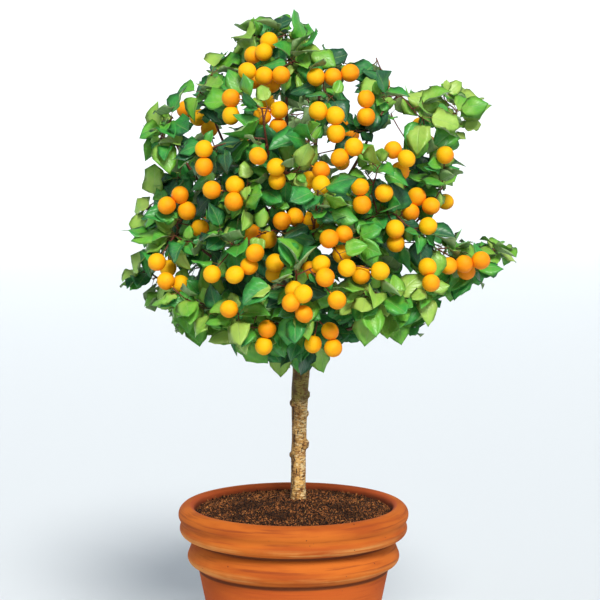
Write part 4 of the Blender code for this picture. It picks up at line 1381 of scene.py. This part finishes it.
def thicken(crown, tips, draw):
    """Fills the crown out: bunches between the leaves, inner twigs, and most of the leaves."""
    fruits_in_view.extend(pixel for pixels in EXTRA_BUNCHES for pixel in pixels)
    add_seen_bunches(crown, draw, EXTRA_BUNCHES, 0.97, 0.05, "inner_apricots")
    for index in range(EXTRA_HIDDEN_BUNCHES):
        for _ in range(HIDDEN_BUNCH_TRIES):
            height = 0.76 + 0.44 * (index + 0.5) / EXTRA_HIDDEN_BUNCHES
            angle = pi * draw.uniform(0.0, 1.0)
            radius = crown_half_width(height) * draw.uniform(0.6, 0.9)
            first = crown_point(height, radius, angle)
            way = Vector((draw.uniform(-1, 1), 0.4, -0.8)).normalized()
            fruits = [first, first + way * FRUIT_SPACING]
            shows = any(in_gap(fruit, GAPS_SEEN + NOTCHES_SEEN, FRUIT_RADIUS_SEEN)
                        for fruit in fruits)
            if not shows and crown.add_bunch(fruits, "inner_apricots"):
                break
    inner_tips = [crown.grow_twig(on_crown_front(pixel, 0.5)) for pixel in SPARSE_EDGES]
    while len(inner_tips) < EXTRA_TWIGS:
        down = draw.uniform(*(LOW_ROWS if draw.random() < LOW_ROWS_SHARE else HIGH_ROWS))
        left, right = outline_at(down)
        if right - left < 40:
            continue
        pixel = (draw.uniform(left + 10, right - 10), down)
        share = draw.uniform(*(NEAR_DEPTHS if draw.random() < NEAR_SHARE else FAR_DEPTHS))
        inner_tips.append(crown.grow_twig(on_crown_front(pixel, share)))
    crown.hang_bunches()
    uncover_fruits(crown)
    GAPS_SEEN.extend(NOTCHES_SEEN)
    crown.hides = out_of_place
    for rank, ends in enumerate((tips, [tip for tip in inner_tips if tip])):
        for end, before, node in ends:
            way = (end - before).normalized()
            young = light_of_leaf(end, 0) + 0.20
            size = draw.uniform(0.50, 0.72)
            crown.add_leaf(draw, end - way * 0.0008, way, node, size, young, 0.85)
            for index in range(TIP_LEAVES + rank):
                root = end - way * (0.0015 + 0.0042 * index)
                low = shown_at(root)[1] > SKIRT_ROW
                size = draw.choice((0.50, 0.82, 0.94, 1.02)) * (1.12 if low else 1.0)
                light = light_of_leaf(root, index) + (0.16 if size < 0.55 or low else -0.03)
                crown.add_leaf(draw, root, way, node, size, light)
    places = [place for place in crown.wood if place[3] > 0.06]
    for point, way, radius, _, node in draw.sample(places, LEAVES_ALONG_WOOD):
        if shown_at(point)[1] > LOW_ROWS[0] or draw.random() < 0.35:
            size = draw.uniform(0.66, 0.98)
            crown.add_leaf(draw, point, way, node, size, light_of_leaf(point, 2))


crown, tips = grow_crown([grow_branch(*branch) for branch in BRANCHES], draw)
thicken(crown, tips, draw)

wood_recipe = Recipe("wood_of_a_branch")
sides, material = wood_recipe.inputs(Sides="Int", Material="Material")
paths = wood_recipe.node("GeometryNodeMeshToCurve", None, {"Mesh": wood_recipe.start.outputs[0]})
section = wood_recipe.node("GeometryNodeCurvePrimitiveCircle", {"mode": "RADIUS"},
                           {"Resolution": sides, "Radius": 1.0})
swept = wood_recipe.node("GeometryNodeCurveToMesh", None, {
    "Curve": paths.outputs[0], "Profile Curve": section.outputs[0],
    "Scale": wood_recipe.named("girth"), "Fill Caps": True})
wood_recipe.finish_with(swept.outputs[0], material)

twig = Finish("twig_bark", Roughness=0.6, Specular_IOR_Level=0.4)
rings_on_bark = twig.noise(1.0, 3.0, twig.stretch(90, 90, 260))
spots = twig.noise(420.0, 2.0)
young = twig.blend(twig.band(spots, 0.4, 0.6), (0.105, 0.022, 0.014), (0.19, 0.052, 0.026))
old = twig.blend(twig.band(rings_on_bark, 0.35, 0.65), (0.050, 0.032, 0.016), (0.150, 0.098, 0.046))
twig.colours(
    twig.blend(twig.band(twig.attribute("girth"), 0.0022, 0.0045), young, old),
    (twig.band(spots, 0.66, 0.72) * 0.7, (0.33, 0.24, 0.14)))
twig.bump(rings_on_bark * 0.7 + spots * 0.3, 0.0007, 0.8)

for node, curves in crown.curves.items():
    bm = bmesh.new()
    thickness = bm.verts.layers.float.new("girth")
    for curve in curves:
        length = (curve[2] - curve[0]).length
        chain = []
        for point, _, radius in bezier_stations(*curve, max(4, min(18, int(length / 0.012)))):
            vert = bm.verts.new(point)
            vert[thickness] = radius
            chain.append(vert)
        for before, after in zip(chain, chain[1:]):
            bm.edges.new((before, after))
    wood_piece = add_object(node.replace("leafy_branch", "branch_wood"), as_mesh(bm))
    wood_recipe.make(wood_piece, Sides=7, Material=twig.material)
    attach(wood_piece, "root")
    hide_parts(node)

# The leaves: broad rounded apricot leaves with a short point, folded up a little along the midrib
# and drooping, each on a reddish stalk. The youngest ones at the twigs' ends are small and bright.
LEAF_ROWS = [(0.05, 0.48), (0.16, 0.86), (0.31, 1.0), (0.48, 0.99), (0.64, 0.85), (0.79, 0.57),
             (0.90, 0.25)]
LEAF_SPANS = (-1.0, -0.5, 0.0, 0.5, 1.0)
LEAF_THICKNESS = 0.0009
LEAF_MAKES = [
    {"fold": 0.34, "wave": 0.0056, "turn": 0.3, "bend": 0.006, "twist": 0.5},
    {"fold": 0.14, "wave": 0.0080, "turn": 2.1, "bend": -0.008, "twist": -0.8},
    {"fold": 0.66, "wave": 0.0034, "turn": 4.0, "bend": -0.003, "twist": 0.3},
    {"fold": -0.30, "wave": 0.0060, "turn": 5.2, "bend": 0.004, "twist": -0.4},
]


def leaf_mesh(droop, fold, wave, turn, bend, twist):
    """A leaf along +Y, its face to +Z: a stalk, and a blade of two sheets that share an edge."""
    bm = bmesh.new()
    drawn = bm.loops.layers.uv.new("leaf_uv")

    def corner(along, width, across, under):
        """A corner of the blade, with where it lies across and along."""
        ripple = sin(19 * along + 3 * turn + 1.6 * across)
        half = BLADE_HALF_WIDTH * width * (1.0 + 0.05 * ripple)
        height = 0.003 - droop * along * along + fold * half * abs(across) ** 1.4
        height += wave * abs(across) * sin(8.5 * along + turn + 1.9 * across) * width
        height += half * across * sin(twist * along)
        height -= under * LEAF_THICKNESS * (1 - across * across)
        place = (half * across + bend * along * along, PETIOLE + BLADE * along, height)
        return bm.verts.new(place), across, along

    def add_face(under, corners):
        face = bm.faces.new([vert for vert, _, _ in corners])
        for loop, (_, across, along) in zip(face.loops, corners):
            loop[drawn].uv = (0.5 + 0.5 * across + 2.0 * under, along)

    base = corner(0.0, 0.0, 0.0, 0.5)
    tip = corner(1.0, 0.0, 0.0, 0.5)
    sheets = []
    for under in (0, 1):
        sheets.append([[sheets[0][number][index] if under and index in (0, 4)
                        else corner(along, width, across, under)
                        for index, across in enumerate(LEAF_SPANS)]
                       for number, (along, width) in enumerate(LEAF_ROWS)])
    for under, sheet in enumerate(sheets):
        order = -1 if under else 1
        for index in range(len(LEAF_SPANS) - 1):
            add_face(under, (base, sheet[0][index + 1], sheet[0][index])[::order])
            add_face(under, (sheet[-1][index], sheet[-1][index + 1], tip)[::order])
            for low, high in zip(sheet, sheet[1:]):
                corners = (low[index], low[index + 1], high[index + 1], high[index])
                add_face(under, corners[:1] + corners[:0:-1] if under else corners)
    rings = []
    for share, radius in ((0.0, 0.0009), (1.12, 0.0007)):
        centre = Vector((0.0, PETIOLE * share, 0.003 * share * share - 0.0004 * share))
        rings.append([bm.verts.new(centre + Vector((sin(a), 0.0, cos(a))) * radius)
                      for a in (0.0, 2.1, 4.2)])
    root, end = rings
    stalk = [bm.faces.new(root), bm.faces.new(end[::-1])]
    stalk += [bm.faces.new((root[(index + 1) % 3], root[index], end[index], end[(index + 1) % 3]))
              for index in range(3)]
    for face in stalk:
        for loop in face.loops:
            loop[drawn].uv = (0.5, loop.vert.co.y / PETIOLE - 1.2)
    return as_mesh(bm, smooth=True)


leaf_forms = forms_of("leaf", [leaf_mesh(droop, **make) for droop in DROOPS for make in LEAF_MAKES])

setting = Recipe("forms_set_on_points")
forms, material = setting.inputs(Forms="Collection", Material="Material")
turned = setting.node("FunctionNodeEulerToRotation", None,
                      {"Euler": setting.named("turn", "FLOAT_VECTOR")})
setting.set_on(setting.start.outputs[0], forms, setting.named("form", "INT"), turned.outputs[0],
               setting.named("size"), material)


def set_forms(name, places, forms, material):
    """An object made of forms set at places of (matrix, form, light, shade)."""
    mesh = bpy.data.meshes.new(name)
    mesh.from_pydata([matrix.translation for matrix, *_ in places], [], [])
    columns = {
        "turn": ("FLOAT_VECTOR", "vector", [a for m, *_ in places for a in m.to_euler()]),
        "size": ("FLOAT", "value", [m.to_scale().x for m, *_ in places]),
        "form": ("INT", "value", [form for _, form, _, _ in places]),
        "light": ("FLOAT", "value", [light for _, _, light, _ in places]),
        "shade": ("FLOAT", "value", [shade for *_, shade in places]),
    }
    for title, (kind, field, values) in columns.items():
        mesh.attributes.new(title, kind, "POINT").data.foreach_set(field, values)
    thing = add_object(name, mesh)
    setting.make(thing, Forms=forms, Material=material)
    for title in ("turn", "size", "form"):
        if title in thing.data.attributes:
            thing.data.attributes.remove(thing.data.attributes[title])
    return thing


leaf = Finish("leaf", Roughness=0.42, Specular_IOR_Level=0.5)
drawn = leaf.node("ShaderNodeAttribute", {"attribute_name": "leaf_uv"}).outputs["Vector"]
across, along, _ = leaf.axes(drawn)
light = leaf.attribute("light")
shade = leaf.attribute("shade")
under = leaf.band(across, 1.2, 1.3)
across = abs(across - under * 2.0 - 0.5) * 2.0
mottle = leaf.noise(70.0, 3.0)
rib = leaf.band(across, 0.085, 0.02) * leaf.band(along, 1.02, 0.9)
slant = along - across * 0.42
side_ribs = leaf.band(abs(leaf.math("FRACT", slant * 6.5) - 0.5), 0.40, 0.5)
side_ribs = side_ribs * leaf.band(across, 1.0, 0.75)
# Painted light and shade: each blade is lighter near its base and darker towards its tip, as on an
# arching leaf.
tone = light + (mottle - 0.5) * 0.5 + (shade - 0.5) * 0.25 + (0.45 - along) * 0.22
green = leaf.node("ShaderNodeValToRGB", {"stops": [
    (0.0, (0.017, 0.108, 0.044)), (0.30, (0.042, 0.330, 0.050)), (0.60, (0.143, 0.440, 0.034)),
    (1.0, (0.370, 0.560, 0.095))]}, {"Fac": tone}).outputs[0]
pale = leaf.cover(leaf.blend(mottle, (0.19, 0.33, 0.12), (0.30, 0.46, 0.19)),
                  (rib * 0.6 + side_ribs * 0.3, (0.42, 0.55, 0.28)))
stalk = leaf.band(along, 0.0, -0.02)
leaf.colours(green, (rib * 0.30 + side_ribs * 0.12, (0.30, 0.46, 0.14)), (under, pale),
             (stalk, (0.25, 0.16, 0.045)))
leaf.feed(leaf.shader.inputs["Roughness"], 0.34 + under * 0.28 + mottle * 0.12)
leaf.bump(mottle * 0.6 - rib * 0.5 - side_ribs * 0.32, 0.0012, 0.7)

for node, leaves in crown.leaves.items():
    places = [(matrix, kind * len(LEAF_MAKES) + tints.randrange(len(LEAF_MAKES)), light,
               tints.random()) for matrix, kind, light in leaves]
    leaves_piece = set_forms(node.replace("leafy_branch", "leaves"), places, leaf_forms,
                             leaf.material)
    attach(leaves_piece, "root")
    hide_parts(node)

# The apricots: ripe golden fruits on short spurs, singly or in touching bunches, each with a
# shallow seam down one side and a dimple at its stalk, downy and soft in its shine.
FINE_FRUIT_RADIUS = 0.0173
# How much flatter than round each form of fruit is, and how deep its seam
FRUIT_SHAPES = ((0.97, 0.075), (1.0, 0.055), (0.94, 0.09))


def fruit_mesh(squash, seam):
    """An apricot about the origin with its stalk towards +Z and its seam towards +X."""
    bm = bmesh.new()
    bmesh.ops.create_uvsphere(bm, u_segments=24, v_segments=14, radius=1.0)
    for vert in bm.verts:
        way = vert.co.normalized()
        turn = atan2(way.y, way.x)
        waist = hypot(way.x, way.y)
        reach = (1.0 - seam * exp(-(turn / 0.17) ** 2) * waist
                 + 0.4 * seam * exp(-(turn / 0.6) ** 2))
        reach -= (0.13 * exp(-((1.0 - way.z) / 0.05))
                  + 0.02 * exp(-((1.0 + way.z) / 0.02)))
        vert.co = Vector((way.x, way.y * squash, way.z * 1.02)) * reach * FINE_FRUIT_RADIUS
    stalk = bmesh.ops.create_cone(bm, cap_ends=True, segments=5, radius1=0.0010, radius2=0.0017,
                                  depth=0.0052)
    bmesh.ops.translate(bm, verts=stalk["verts"], vec=(0.0, 0.0, 0.0168))
    return as_mesh(bm, smooth=True)


fruit_forms = forms_of("fruit", [fruit_mesh(*shape) for shape in FRUIT_SHAPES])

apricot = Finish("apricot", Roughness=0.62, Specular_IOR_Level=0.22)
light = apricot.attribute("light")
flesh_clouds = apricot.noise(38.0, 2.0)
down = apricot.noise(1500.0, 1.0)
freckles = apricot.band(apricot.noise(330.0, 1.0), 0.70, 0.76)
east, north, height = apricot.facing()
# Painted light and shade: each apricot is golden where it faces up, to the front and to the left,
# and orange where it faces down, back and right; the clouds and each fruit's own light value add
# its real blush.
flush_and_painted_shade = flesh_clouds * 0.7 + light * 0.5 - height * 0.20 + east * 0.14 + north * 0.16
apricot.colours(
    apricot.blend(apricot.band(flush_and_painted_shade, 0.20, 0.85), (0.95, 0.50, 0.002), (0.90, 0.26, 0.002)),
    (freckles * 0.5, (0.62, 0.16, 0.01)))
apricot.bump(down * 0.25 + flesh_clouds * 0.6, 0.0003, 0.4)

for name, fruits in crown.fruits.items():
    places = []
    for matrix in fruits:
        turned_fruit = matrix @ Matrix.Rotation(tints.uniform(0.0, 6.28), 4, "Z")
        sized = turned_fruit @ Matrix.Scale(tints.uniform(0.97, 1.03), 4)
        places.append((sized, tints.randrange(len(FRUIT_SHAPES)), tints.random(), tints.random()))
    bunch = set_forms(name + "_fruit", places, fruit_forms, apricot.material)
    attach(bunch, "root")
    if name.startswith("apricots"):
        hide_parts(name)
